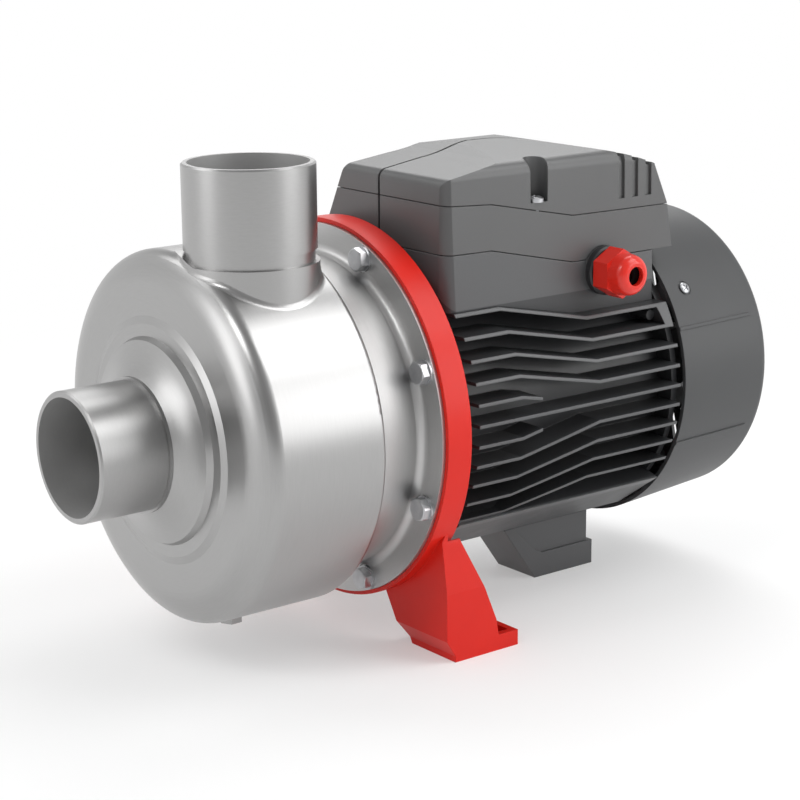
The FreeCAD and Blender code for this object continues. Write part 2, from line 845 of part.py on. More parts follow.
front_seat = D.front_bearing_start + D.front_bearing_width
stack_end = D.stack_start + D.stack_length
rotor_start = D.stack_start - D.end_ring_length
rotor_end = stack_end + D.end_ring_length
rear_seat = D.rear_bearing_start + D.rear_bearing_width
washer_start = D.impeller_start - D.bolt_washer
fan_end = D.fan_start + D.fan_length

shaft_form = turned("shaft_form", [
    (washer_start - D.nut_length - 2, 0),
    (washer_start - D.nut_length - 2, D.shaft_nose - 1),
    (washer_start - D.nut_length - 1, D.shaft_nose),
    (D.impeller_start, D.shaft_nose),
    (D.impeller_start, D.shaft_wet),
    (D.impeller_end, D.shaft_wet),
    (D.impeller_end, D.shaft_seal),
    (D.front_bearing_start, D.shaft_seal),
    (D.front_bearing_start, D.front_bearing_bore),
    (front_seat, D.front_bearing_bore),
    (front_seat, D.shaft_rotor - 1),
    (rotor_start, D.shaft_rotor - 1),
    (rotor_start, D.shaft_rotor),
    (rotor_end, D.shaft_rotor),
    (rotor_end, D.rear_bearing_bore + 2),
    (D.rear_bearing_start, D.rear_bearing_bore + 2),
    (D.rear_bearing_start, D.rear_bearing_bore),
    (rear_seat, D.rear_bearing_bore),
    (rear_seat, D.shaft_tail),
    (fan_end + 6, D.shaft_tail),
    (fan_end + 7, D.shaft_tail - 1),
    (fan_end + 7, 0),
])
key_start = D.impeller_end - D.key_length - 2
keyway = box("keyway", key_start, -D.key_width / 2, D.shaft_wet - D.key_width / 2,
             D.key_length, D.key_width, D.key_width)
clip_start = fan_end + D.face_gap
clip_thick = D.bolt_washer
clip_groove = ring("clip_groove", clip_start, clip_start + clip_thick, D.shaft_tail - 0.8,
                   D.shaft_tail + 2)
stand(cut("motor_shaft", shaft_form, keyway, clip_groove), "motor_shaft")
slack = D.fit
key_side = D.key_width - 2 * slack
stand(box("impeller_key", 0, 0, 0, D.key_length - 2 * slack, key_side, key_side),
      "impeller_key", key_start + slack, -key_side / 2, D.shaft_wet - D.key_width / 2 + slack)

# Impeller: hub and back shroud turned in one, with backward-curved vanes in front.

shroud_front = D.impeller_end - D.shroud_thick
impeller = turned("impeller_form", [
    (D.impeller_start, D.shaft_wet + D.fit),
    (D.impeller_end, D.shaft_wet + D.fit),
    (D.impeller_end, D.impeller_radius),
    (shroud_front, D.impeller_radius),
    (shroud_front, D.hub_radius + 9),
    (shroud_front - 12, D.hub_radius),
    (D.impeller_start + 4, D.hub_radius - 1),
    (D.impeller_start, D.hub_radius - 3),
])
vane_root = 25
vane_tip = vane_root + 62
vane_curve = D.impeller_radius * 0.75
vane_reach = D.impeller_radius - 0.5
vane = pad(impeller, "YZ_Plane", shroud_front - D.vane_height, D.vane_height + 1, outlines=[[
    on_circle(D.hub_radius - 1, -vane_root) + (vane_curve,),
    on_circle(vane_reach, -vane_tip),
    on_circle(vane_reach - D.vane_thick, -vane_tip) + (-vane_curve,),
    on_circle(D.hub_radius - 1, -vane_root - 14),
]])
polar(impeller, [vane], COUNTS["vanes"])
impeller_slot = box("impeller_slot", key_start, -D.key_width / 2, D.shaft_wet - 2,
                    D.impeller_end - key_start + 1, D.key_width, D.key_width / 2 + 2 + slack)
stand(cut("impeller", impeller, impeller_slot), "impeller")
stand(ring("impeller_washer", washer_start, D.impeller_start, D.shaft_nose + D.fit,
           D.hub_radius - 3), "impeller_washer")
impeller_nut = new_body("impeller_nut")
pad(impeller_nut, "YZ_Plane", washer_start - D.nut_length, D.nut_length,
    outlines=[hexagon(0, 0, D.nut_flats)], circles=[(0, 0, D.shaft_nose + D.fit)])
stand(impeller_nut, "impeller_nut")

# Mechanical seal: fixed seat in the plate's cup, rotating head and rubber bellows behind it.

head_end = D.seat_front - D.seal_face_gap
head_start = head_end - D.head_length
stand(ring("seal_seat", D.seat_front, seat_end - D.fit, D.seat_bore, D.seat_radius), "seal_seat")
stand(ring("seal_head", head_start, head_end, D.shaft_seal + D.fit, D.head_radius), "seal_head")
fold = (head_start - D.impeller_end) / 3
bellows_inner = D.shaft_seal + D.fit
stand(turned("seal_bellows", [
    (D.impeller_end, bellows_inner),
    (head_start, bellows_inner),
    (head_start, D.bellows_radius),
    (head_start - fold / 2, D.bellows_radius - 1.5),
    (head_start - fold, D.bellows_radius),
    (head_start - fold * 1.5, D.bellows_radius - 1.5),
    (D.impeller_end + fold, D.bellows_radius),
    (D.impeller_end, D.bellows_radius),
]), "seal_bellows")
slinger_inner = D.shaft_seal + D.fit
stand(turned("water_slinger", [
    (D.slinger_start - 2, slinger_inner),
    (D.slinger_start + D.slinger_length + 2, slinger_inner),
    (D.slinger_start + D.slinger_length + 2, slinger_inner + 2),
    (D.slinger_start + D.slinger_length, slinger_inner + 2),
    (D.slinger_start + D.slinger_length / 2, D.shaft_rotor + 4),
    (D.slinger_start - 2, slinger_inner + 2),
]), "water_slinger")

# Motor inside: stator core and windings, rotor core and its end rings.

stator_radius = D.housing_bore - D.fit
rotor_radius = D.stator_bore - D.air_gap
stand(ring("stator_core", D.stack_start, stack_end, D.stator_bore, stator_radius), "stator_core")


def winding(name, near, far):
    """Wound coil head: a rounded ring that leans on one face of the stator core."""
    inner = D.stator_bore + 3
    outer = D.housing_bore - 5
    return turned(name, [
        (near, inner),
        (near, outer),
        (far, outer - 4),
        (far, inner + 3),
    ])


stand(fuse("windings", winding("front_winding", D.stack_start,
                               D.stack_start - D.winding_length),
           winding("rear_winding", stack_end, stack_end + D.winding_length * 0.7)),
      "stator_windings")
stand(ring("rotor_core", D.stack_start, stack_end, D.shaft_rotor + D.fit, rotor_radius),
      "rotor_core")
stand(fuse("end_rings",
           ring("front_end_ring", rotor_start, D.stack_start, rotor_radius - 12,
                rotor_radius - 1),
           ring("rear_end_ring", stack_end, rotor_end, rotor_radius - 12, rotor_radius - 1)),
      "rotor_end_rings")

# Motor housing: a tube with kinked cooling fins, a smooth belly and a flat underside.

tube = ring("housing_tube", D.ring_rear, D.housing_end, D.housing_bore, D.housing_radius)
front_rim = ring("front_rim", D.ring_rear, D.ring_rear + D.spigot_length, D.housing_bore,
                 screw_circle + 4)
fin_rows = 5


def fin_outline(row):
    """Side view of one fin. The fins that lie two rows or more from the middle one step a
    full pitch towards it between the two bends, and the two beside it end at the first."""
    half = D.fin_thick / 2
    front = D.fin_centre + D.fin_pitch * row
    side = (row > 0) - (row < 0)
    if row == 0:
        path = [(D.fin_start, front), (D.housing_end, front)]
    elif abs(row) == 1:
        path = [(D.fin_start, front), (D.fin_bend_front, front), (D.fin_stub, front - 2.4 * side)]
    else:
        rear = front - D.fin_pitch * side
        path = [(D.fin_start, front), (D.fin_bend_front, front), (D.fin_bend_rear, rear),
                (D.housing_end, rear)]
    upper = [(x, z + half) for x, z in path]
    lower = [(x, z - half) for x, z in path]
    return lower + upper[::-1]


fin_plates = new_body("fin_plates")
pad(fin_plates, "XZ_Plane", D.housing_radius * 0.45, D.fin_radius,
    outlines=[fin_outline(row) for row in range(-fin_rows, fin_rows + 1)])
fin_space = ring("fin_space", D.fin_start, D.housing_end, D.housing_radius - 1, D.fin_radius)
near_fins = common("near_fins", fin_plates, fin_space)
far_fins = mirrored("far_fins", near_fins)
belly = new_body("belly")
pad(belly, "YZ_Plane", D.fin_start, D.housing_end - D.fin_start, outlines=[[
    (-D.belly_side, -D.belly_top),
    (-D.belly_half, -D.belly_depth),
    (D.belly_half, -D.belly_depth),
    (D.belly_side, -D.belly_top),
    (D.belly_half, -D.belly_top + 9),
    (-D.belly_half, -D.belly_top + 9),
]])
bore_space = cylinder("bore_space", "X", D.housing_bore, D.housing_end, D.ring_rear - 1)
shield_circle = D.housing_bore - D.shield_lug + 0.5
shield_places = [on_circle(shield_circle, angle) for angle in (45, 135, 225, 315)]
shield_front = D.housing_end - D.shield_step
shield_bosses = new_body("shield_bosses")
pad(shield_bosses, "YZ_Plane", shield_front - 11, 11,
    circles=[(y, z, D.shield_lug) for y, z in shield_places])
shield_holes = new_body("shield_holes")
pad(shield_holes, "YZ_Plane", shield_front - 10, 11,
    circles=[(y, z, D.screw_radius + D.fit) for y, z in shield_places])
rim_holes = new_body("rim_holes")
pad(rim_holes, "YZ_Plane", D.ring_rear - 1, D.spigot_length + 2,
    circles=[(y, z, D.bolt_radius - 0.5 + D.fit) for y, z in screw_places])

# Rear corner of the two upper fins, and the small round boss that stands between them.
top_level = D.fin_centre + D.fin_pitch * (fin_rows - 1)
end_plates = new_body("end_plates")
pad(end_plates, "XZ_Plane", D.housing_radius * 0.7, D.fin_radius, outlines=[[
    (D.housing_end - 5, top_level - D.fin_pitch),
    (D.housing_end, top_level - D.fin_pitch),
    (D.housing_end, top_level),
    (D.housing_end - 7.5, top_level),
]])
near_end = common("near_end", end_plates, fin_space)
near_boss = cylinder("near_boss", "-Y", 2.6, 16, D.housing_end - 9, -51.5,
                     top_level - D.fin_pitch / 2)
far_end = mirrored("far_end", near_end)
far_boss = mirrored("far_boss", near_boss)
housing_tube = cut("housing_bored", fuse("housing_casting", tube, front_rim, near_fins, far_fins,
                                         belly, near_end, far_end, near_boss, far_boss),
                   bore_space)
foot_holes = [cylinder("foot_hole_%d" % index, "Z", D.foot_screw + D.fit, 9, x, 0,
                       -D.belly_depth - 1) for index, x in enumerate(FOOT_SCREWS, 1)]
stand(cut("motor_housing", fuse("housing_bossed", housing_tube, shield_bosses), shield_holes,
          rim_holes, *foot_holes), "motor_housing")

# Rear end: end shield with lugs for the fan cover, wave washer, fan, clip and cover.

shield_rear = D.housing_end + D.shield_thick
cover_edge = D.cover_rear - D.cover_round
cover_slope = (D.cover_radius - D.cover_rear_radius) / (cover_edge - D.cover_start)


def cover_at(station):
    """Outer radius of the tapered fan cover at a station."""
    return D.cover_radius - cover_slope * (station - D.cover_start)


shield_disc = turned("shield_disc", [
    (D.rear_bearing_start, D.rear_bearing_radius + D.fit),
    (rear_seat + D.bolt_washer, D.rear_bearing_radius + D.fit),
    (rear_seat + D.bolt_washer, D.shaft_tail + 1.5),
    (shield_rear, D.shaft_tail + 1.5),
    (shield_rear, D.shield_radius),
    (D.housing_end, D.shield_radius),
    (D.housing_end, spigot_radius),
    (shield_front, spigot_radius),
    (shield_front, D.shield_boss),
    (D.rear_bearing_start, D.shield_boss),
])
lug_start = D.housing_end + 0.5
lug_end = D.lug_x + 5
lug_angles = [D.lug_angle.value, 180, 360 - D.lug_angle.value]


def lug_outline(angle):
    corners = [(D.shield_radius - 2.5, -4.6), (D.cover_radius, -4.6), (D.cover_radius, 4.6),
               (D.shield_radius - 2.5, 4.6)]
    return [on_circle(radius, angle + turn) for radius, turn in corners]


lug_plates = new_body("lug_plates")
pad(lug_plates, "YZ_Plane", lug_start, lug_end - lug_start,
    outlines=[lug_outline(angle) for angle in lug_angles])
cover_inside = turned("cover_inside", [
    (D.housing_end, 0),
    (lug_end + 1, 0),
    (lug_end + 1, cover_at(lug_end + 1) - D.cover_wall - 3 * D.fit),
    (D.cover_start, D.cover_radius - D.cover_wall - 3 * D.fit),
    (D.cover_start, D.shield_radius),
    (D.housing_end, D.shield_radius),
])
lugs = common("lugs", lug_plates, cover_inside)
shield_clear = new_body("shield_clear")
pad(shield_clear, "YZ_Plane", shield_front - 1, shield_rear - shield_front + 2,
    circles=[(y, z, D.screw_radius + D.fit) for y, z in shield_places])


def radial(name, angle, radius, start, length):
    """Cylinder that points away from the shaft at the fan cover's screws."""
    made = cylinder(name, "Z", radius, length)
    y, z = on_circle(start, angle)
    made.Placement = FreeCAD.Placement(Vector(), FreeCAD.Rotation(Vector(1, 0, 0), angle))
    return shift(made, D.lug_x, y, z)


lug_top = cover_at(D.lug_x)
lug_holes = [radial("lug_hole_%d" % index, angle, D.screw_radius + D.fit, lug_top - 12, 14)
             for index, angle in enumerate(lug_angles, 1)]
stand(cut("rear_end_shield", fuse("shield_casting", shield_disc, lugs), shield_clear,
          *lug_holes), "rear_end_shield")
stand(screws("shield_screws", shield_places, shield_rear, 2.5, 14, D.screw_radius, 3.6,
             rearward=False), "shield_screws")
stand(ring("wave_washer", rear_seat, rear_seat + D.bolt_washer, D.rear_bearing_radius - 3,
           D.rear_bearing_radius - 0.2), "wave_washer")

fan_disc = D.fan_start + 2
cooling_fan = turned("cooling_fan", [
    (D.fan_start, D.shaft_tail + D.fit),
    (fan_end, D.shaft_tail + D.fit),
    (fan_end, D.fan_hub),
    (fan_disc, D.fan_hub),
    (fan_disc, D.fan_radius - 6),
    (D.fan_start, D.fan_radius - 6),
])
blade = pad(cooling_fan, "YZ_Plane", fan_disc - 1, D.fan_length - 5, outlines=[[
    (-1, D.fan_hub - 1),
    (-1, D.fan_radius),
    (1, D.fan_radius),
    (1, D.fan_hub - 1),
]])
polar(cooling_fan, [blade], COUNTS["fan_blades"])
stand(cooling_fan, "cooling_fan")
stand(ring("fan_clip", clip_start, clip_start + clip_thick, D.shaft_tail - 0.8 + D.fit, 9),
      "fan_clip")

cover_shell = turned("cover_shell", [
    (D.cover_start, D.cover_radius - D.cover_wall),
    (D.cover_start, D.cover_radius),
    (cover_edge, D.cover_rear_radius, D.cover_round),
    (D.cover_rear, D.cover_rear_radius - D.cover_round),
    (D.cover_rear, 0),
    (D.cover_rear - D.cover_wall, 0),
    (D.cover_rear - D.cover_wall, D.cover_rear_radius - D.cover_round,
     D.cover_wall - D.cover_round),
    (cover_edge, D.cover_rear_radius - D.cover_wall),
])
rib_end = cover_edge - 5
rib_plates = new_body("rib_plates")
pad(rib_plates, "XZ_Plane", -D.cover_radius - 1, 2 * D.cover_radius + 2, outlines=[
    [(D.cover_start, z - 0.8), (rib_end, z - 0.8), (rib_end, z + 0.8), (D.cover_start, z + 0.8)]
    for z in (28.5, -31)])
rib_space = turned("rib_space", [
    (D.cover_start, D.cover_radius - 1),
    (D.cover_start, D.cover_radius + 0.5),
    (rib_end, cover_at(rib_end) + 0.5),
    (rib_end, cover_at(rib_end) - 1),
])
cover_ribs = common("cover_ribs", rib_plates, rib_space)
grille = new_body("grille")
slot_half = D.grille_slot / 2
slot = pad(grille, "YZ_Plane", D.cover_rear - D.cover_wall - 1, D.cover_wall + 2, outlines=[[
    (-slot_half, D.grille_inner),
    (-slot_half, D.grille_outer, D.grille_slot * 0.6),
    (slot_half, D.grille_outer),
    (slot_half, D.grille_inner, D.grille_slot * 0.6),
]])
polar(grille, [slot], COUNTS["grille_slots"])
recess_level = lug_top - 0.6
cover_holes = []
cover_screws = []
for index, angle in enumerate(lug_angles, 1):
    cover_holes.append(radial("cover_hole_%d" % index, angle, D.screw_radius + D.fit,
                              lug_top - 12, 14))
    cover_holes.append(radial("cover_recess_%d" % index, angle, 4, recess_level, 4))
    cover_screws.append(radial("cover_shank_%d" % index, angle, D.screw_radius,
                               recess_level - 9, 9.5))
    cover_screws.append(radial("cover_head_%d" % index, angle, 2.9, recess_level, 1.8))
stand(cut("fan_cover", fuse("cover_ribbed", cover_shell, cover_ribs), grille, *cover_holes),
      "fan_cover")
stand(fuse("cover_screw_set", *cover_screws), "fan_cover_screws")

# Motor foot: a hollow bracket under the belly, with its two screws inside.

foot_slope = 3.7
foot_side = new_body("foot_side")
pad(foot_side, "XZ_Plane", -D.foot_half, 2 * D.foot_half, outlines=[[
    (D.foot_front, -D.belly_depth),
    (D.foot_front + 5.5, -D.belly_depth - 10),
    (D.foot_toe, -D.shaft_height),
    (D.foot_rear, -D.shaft_height),
    (D.foot_rear, -D.shaft_height + 13),
    (D.foot_rear - 3, -D.shaft_height + 13),
    (D.foot_rear - 3, -D.belly_depth),
]])
band_side = D.foot_half + D.band_height
band_top = -D.shaft_height + 13
foot_band = new_body("foot_band")
pad(foot_band, "XZ_Plane", -band_side, 2 * band_side, outlines=[[
    (D.foot_front, -D.belly_depth),
    (D.foot_front + 5.5, -D.belly_depth - 10),
    (D.foot_toe, -D.shaft_height),
    (D.foot_rear, -D.shaft_height),
    (D.foot_rear, band_top),
    (D.foot_toe + 5, band_top),
    (D.foot_toe + 0.5, band_top + 2.2),
    (D.foot_front + D.band_width + 5.5, -D.belly_depth - 9),
    (D.foot_front + D.band_width, -D.belly_depth),
]])
foot_inner = D.foot_half - D.foot_wall
foot_roof = -D.belly_depth - D.foot_wall
foot_hollow = new_body("foot_hollow")
pad(foot_hollow, "XZ_Plane", -foot_inner, 2 * foot_inner, outlines=[[
    (D.foot_front + foot_slope + 1, foot_roof),
    (D.foot_front + foot_slope + 5.5, -D.belly_depth - 10),
    (D.foot_toe + foot_slope, -D.shaft_height),
    (D.foot_toe + foot_slope, -D.shaft_height - 1),
    (D.foot_rear - 3 - D.foot_wall, -D.shaft_height - 1),
    (D.foot_rear - 3 - D.foot_wall, foot_roof),
]])
foot_clear = []
foot_screws = []
for index, x in enumerate(FOOT_SCREWS, 1):
    foot_clear.append(cylinder("foot_clear_%d" % index, "Z", D.foot_screw + D.fit,
                               D.foot_wall + 2, x, 0, foot_roof - 1))
    foot_screws.append(cylinder("foot_shank_%d" % index, "Z", D.foot_screw,
                                D.foot_wall + 7, x, 0, foot_roof - 0.5))
    foot_screws.append(cylinder("foot_head_%d" % index, "Z", D.foot_screw + 2, 3, x, 0,
                                foot_roof - 3))
foot_form = fuse("foot_form", foot_side, foot_band)
stand(cut("motor_foot", foot_form, foot_hollow, *foot_clear), "motor_foot")
stand(fuse("foot_screw_set", *foot_screws), "foot_screws")

# Terminal box: one tapered block, cut along two kinked seams into base, box and cover.

block_floor = 30
box_tail = D.box_rear + 13.5


def box_block(name, inset):
    """The whole terminal box as a solid, drawn in by an inset all round."""
    side_view = new_body(name + "_side_view")
    pad(side_view, "XZ_Plane", -70, 140, outlines=[[
        (D.box_front + inset, block_floor),
        (D.box_front + 0.3 + inset, 109.5 - inset, 4.6),
        (D.box_front + 4 + inset, 114.3 - inset),
        (192, 117.6 - inset, -91),
        (204, 119.6 - inset),
        (214, 122.3 - inset, 51),
        (229, D.crown - inset, 213),
        (299 - inset, 110.3 - inset),
        (308 - inset, D.cover_seam_rear),
        (box_tail - inset, D.seam_rear + D.seam_gap + inset),
        (D.box_rear - inset, D.seam_rear + D.seam_gap + inset),
        (D.box_rear - inset, block_floor),
    ]])
    front_view = new_body(name + "_front_view")
    pad(front_view, "YZ_Plane", D.box_front, box_tail - D.box_front, outlines=[[
        (-D.box_near + inset, block_floor),
        (-D.box_near + 1.4 + inset, 112.6 - inset, D.edge_round),
        (-D.box_near + 7 + inset, 119.1 - inset),
        (D.ridge_side, D.crown - inset),
        (13 - inset / 2, 121 - inset),
        (18.5 - inset, 112 - inset / 2),
        (58.8 - inset, block_floor),
    ]])
    plan = new_body(name + "_plan")
    corner = D.corner_round + 1 - inset
    pad(plan, "XY_Plane", block_floor, 100, outlines=[[
        (D.box_front + inset, -D.box_near + inset + corner, -corner),
        (D.box_front + inset + corner, -D.box_near + inset),
        (box_tail, -D.box_near + inset),
        (box_tail, D.box_near),
        (D.box_front + inset, D.box_near),
    ]])
    return common(name, side_view, front_view, plan)


def between(name, lower, upper):
    """Slice of space between two lines of the side view, both given from front to rear."""
    made = new_body(name)
    pad(made, "XZ_Plane", -70, 140, outlines=[list(lower) + list(upper)[::-1]])
    return made


def raised(line, amount):
    return [(x, z + amount) for x, z in line]


seam_start = D.box_front - 5
seam_end = box_tail + 5
fin_top = D.fin_centre + D.fin_pitch * fin_rows + D.fin_thick / 2
base_line = [(seam_start, fin_top), (D.fin_bend_front, fin_top),
             (D.fin_bend_rear, fin_top - D.fin_pitch), (seam_end, fin_top - D.fin_pitch)]
base_seam = [(seam_start, D.seam_front), (D.box_bend_front, D.seam_front - 0.5),
             (D.box_bend_rear, D.seam_rear), (seam_end, D.seam_rear)]
cover_seam = [(seam_start, D.cover_seam_front), (D.box_bend_front, D.cover_seam_front - 2),
              (D.box_bend_rear, D.cover_seam_rear), (seam_end, D.cover_seam_rear - 0.7)]
block_top = [(seam_start, 130), (seam_end, 130)]

outer_block = box_block("outer_block", 0)
groove_block = box_block("groove_block", 1.3)
cavity_block = box_block("cavity_block", D.box_wall)

# Room that the fan cover and the end shield take under the rear of the box.
tail_radius = D.cover_radius + 2 * D.face_gap
tail_room = cylinder("tail_room", "X", tail_radius, 30, D.housing_end - D.face_gap)
tail_wall = cylinder("tail_wall", "X", tail_radius + D.box_wall, 30,
                     D.housing_end - D.face_gap - D.box_wall)

# Two screw places: a post below each, and a cup round the recess in the cover.
SCREW_SIDES = (-57.5, 20.5)
post_parts = []
recesses = []
thread_holes = []
box_screws = []
for index, side in enumerate(SCREW_SIDES, 1):
    post_parts.append(cylinder("post_%d" % index, "Z", D.recess_radius - 0.5, 44, D.recess_x,
                               side, 86))
    post_parts.append(cylinder("cup_%d" % index, "Z", D.recess_radius + 2.5, 34, D.recess_x,
                               side, D.recess_floor - 3))
    recesses.append(cylinder("recess_%d" % index, "Z", D.recess_radius, 30, D.recess_x, side,
                             D.recess_floor))
    thread_holes.append(cylinder("thread_hole_%d" % index, "Z", D.box_screw + D.fit, 20,
                                 D.recess_x, side, D.recess_floor - 12))
    box_screws.append(cylinder("box_shank_%d" % index, "Z", D.box_screw, 11.5, D.recess_x,
                               side, D.recess_floor - 11))
    box_screws.append(cylinder("box_head_%d" % index, "Z", D.recess_radius - 2, 3,
                               D.recess_x, side, D.recess_floor))
post_web = box("post_web", D.recess_x - 1.5, 20.5, 86, 3, 14, 40)
upper_space = cut("upper_space", cavity_block, tail_wall, post_web, *post_parts)

core_space = cylinder("core_space", "X", D.housing_radius + D.fit, 160, D.box_front - 5)
core_floor = cylinder("core_floor", "X", D.housing_radius + D.box_wall + 0.4, 160,
                      D.box_front - 5)
inside_slice = between("inside_slice", raised(base_line, D.box_wall), block_top)
box_inside = cut("box_inside", common("box_inside_room", cavity_block, inside_slice),
                 core_floor)
gland_pad = cylinder("gland_pad", "-Y", D.gland_neck + 3.5, 5.7, D.gland_x,
                     -D.gland_face + 5.7, D.gland_z)
gland_room = cylinder("gland_room", "-Y", D.gland_neck + 3.5 + D.face_gap, 12, D.gland_x,
                      -D.gland_face + 9, D.gland_z)
gland_hole = cylinder("gland_hole", "-Y", D.gland_neck + D.fit, 12, D.gland_x,
                      -D.gland_face + 9, D.gland_z)
board_post = box("board_post", 215, -8, 58, 50, 36, 13)
earth_post = box("earth_post", 182, -8, 60, 16, 16, 12)
earth_hole = cylinder("earth_hole", "Z", D.screw_radius + D.fit, 7, 190, 0, 67)
ridge_bar = box("ridge_bar", D.box_front - 5, D.ridge_side - 0.8, 60, 160, 1.6, 80)
ridge_groove = cut("ridge_groove", ridge_bar, groove_block)
base_slice = between("base_slice", base_line, base_seam)
base_shell = cut("base_shell", common("base_block", outer_block, base_slice), box_inside)
stand(cut("terminal_box_base", fuse("base_posts", base_shell, board_post, earth_post,
                                    gland_pad), core_space, gland_hole, earth_hole,
          ridge_groove), "terminal_box_base")

middle_slice = between("middle_slice", raised(base_seam, D.seam_gap), cover_seam)
stand(cut("terminal_box", common("middle_block", outer_block, middle_slice), upper_space,
          tail_room, gland_room, ridge_groove, *thread_holes), "terminal_box")
cover_slice = between("cover_slice", raised(cover_seam, D.seam_gap), block_top)
vent_bars = [box("vent_%d" % index, x, -70, 95, 4, 30, 30)
             for index, x in enumerate((275, 284, 293), 1)]
vent_grooves = cut("vent_grooves", fuse("vent_bars", *vent_bars), groove_block)
stand(cut("terminal_box_cover", common("cover_block", outer_block, cover_slice), upper_space,
          vent_grooves, ridge_groove, *recesses, *thread_holes), "terminal_box_cover")

base_seal_slice = between("base_seal_slice", base_seam, raised(base_seam, D.seam_gap))
stand(cut("base_gasket", common("base_seal_block", groove_block, base_seal_slice),
          cavity_block, gland_room), "base_gasket")
cover_seal_slice = between("cover_seal_slice", cover_seam, raised(cover_seam, D.seam_gap))
stand(cut("cover_gasket", common("cover_seal_block", groove_block, cover_seal_slice),
          upper_space, *thread_holes), "cover_gasket")
stand(fuse("box_screw_set", *box_screws), "terminal_cover_screws")

# Inside the terminal box: terminal board with its studs, capacitor on a cradle, earth screw.

stud_holes = []
studs = []
for row, y in enumerate((0, 17)):
    for column, x in enumerate((237, 247, 257)):
        number = 3 * row + column + 1
        stud_holes.append(cylinder("stud_hole_%d" % number, "Z", 2 + D.fit, 8, x, y, 70))
        studs.append(cylinder("stud_%d" % number, "Z", 2, 12, x, y, 71.5))
        studs.append(cylinder("stud_nut_%d" % number, "Z", 3.8, 3, x, y, 75))
board = box("board", 217, -6, 71, 46, 32, 4)
stand(cut("terminal_board", board, *stud_holes), "terminal_board")
stand(fuse("stud_set", *studs), "terminal_studs")

stand(cylinder("capacitor", "X", D.capacitor_radius, 62), "capacitor", 178, -30, 82)
cradle_block = box("cradle_block", 200, -42, 45, 14, 24, 36)
capacitor_room = cylinder("capacitor_room", "X", D.capacitor_radius + D.fit, 70, 175, -30, 82)
stand(cut("cradle", common("cradle_body", cradle_block, box_inside), capacitor_room),
      "capacitor_cradle")
stand(fuse("earth_screw_form", cylinder("earth_shank", "Z", D.screw_radius, 5, 190, 0, 67.5),
           cylinder("earth_head", "Z", 4, 2.5, 190, 0, 72)), "earth_screw")

# Cable gland: black body through the wall, locknut, rubber seal and red cap nut.

collar_face = D.gland_face + 3.8
neck_tip = D.gland_tip - 6
gland_step = neck_tip - 8
gland_body = turned("gland_body", [
    (D.gland_hole + 0.3, 8 - D.gland_face),
    (D.gland_neck, 8 - D.gland_face),
    (D.gland_neck, -D.gland_face),
    (D.gland_neck + 4, -D.gland_face),
    (D.gland_neck + 4, 0.8 - collar_face),
    (D.gland_neck + 3.2, -collar_face),
    (D.gland_neck, -collar_face),
    (D.gland_neck, -neck_tip),
    (D.gland_neck - 1.5, -neck_tip),
    (D.gland_neck - 1.5, -gland_step),
    (D.gland_hole + 0.3, -gland_step),
], "V_Axis", "XY_Plane")
stand(gland_body, "gland_body", D.gland_x, 0, D.gland_z)
locknut = new_body("gland_locknut")
pad(locknut, "XZ_Plane", D.gland_face - 5.7 - 3, 3,
    outlines=[hexagon(0, 0, D.gland_flats)], circles=[(0, 0, D.gland_neck + D.fit)])
stand(locknut, "gland_locknut", D.gland_x, 0, D.gland_z)
stand(turned("gland_seal", [
    (D.gland_hole - 0.6, -gland_step),
    (D.gland_neck - 1.5 - D.fit, -gland_step),
    (D.gland_neck - 1.5 - D.fit, -neck_tip),
    (D.gland_hole - 0.6, -neck_tip),
], "V_Axis", "XY_Plane"), "gland_seal", D.gland_x, 0, D.gland_z)
nut_start = collar_face + D.face_gap
nut_shoulder = nut_start + 9.7
nut_grip = new_body("nut_grip")
pad(nut_grip, "XZ_Plane", nut_start, nut_shoulder - nut_start,
    outlines=[hexagon(0, 0, D.gland_flats, 30)])
nut_dome = turned("nut_dome", [
    (0, 1 - nut_shoulder),
    (D.gland_flats / 2, 1 - nut_shoulder),
    (D.gland_flats / 2, -nut_shoulder),
    (D.gland_flats / 2 - 0.7, 4 - D.gland_tip, 5),
    (D.gland_hole + 1.5, -D.gland_tip),
    (0, -D.gland_tip),
], "V_Axis", "XY_Plane")
nut_bore = turned("nut_bore", [
    (0, 1 - nut_start),
    (D.gland_neck + 2 * D.fit, 1 - nut_start),
    (D.gland_neck + 2 * D.fit, -neck_tip - D.face_gap),
    (D.gland_hole, -neck_tip - D.face_gap - 3),
    (D.gland_hole, -D.gland_tip - 1),
    (0, -D.gland_tip - 1),
], "V_Axis", "XY_Plane")
stand(cut("gland_nut", fuse("nut_form", nut_grip, nut_dome), nut_bore), "gland_nut",
      D.gland_x, 0, D.gland_z)

# Check every feature, then write one file for each sub-part.

doc.recompute()
for item in doc.Objects:
    if "Invalid" in item.State or "Error" in item.State:
        raise RuntimeError("feature failed: %s" % item.Name)
for item in nodes:
    if item.Shape.isNull() or not item.Shape.isValid() or not item.Shape.Solids:
        raise RuntimeError("shape is not valid: %s" % item.Label)
os.makedirs("parts", exist_ok=True)
for item in nodes:
    item.Shape.exportStep("parts/%s.step" % item.Label)
    print(item.Label, len(item.Shape.Solids), round(item.Shape.Volume, 1))
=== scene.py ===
# %% [markdown]
# # A centrifugal pump, dressed for a studio picture
#
# The pump has a pressed stainless casing in front, a red cast bracket in the middle and a dark
# grey motor behind it. Its shapes come ready made from a CAD model. This lesson gives them
# their finishes, adds the small pieces that CAD leaves plain, and lights the result.
#
# Everything is in metres. The shaft lies along X at 109 mm above the floor, the suction stub
# points to -X, the discharge stub to +Z and the cable gland to -Y.

# %% Load the frame
import json
import math

import bmesh
import bpy
from mathutils import Matrix, Vector


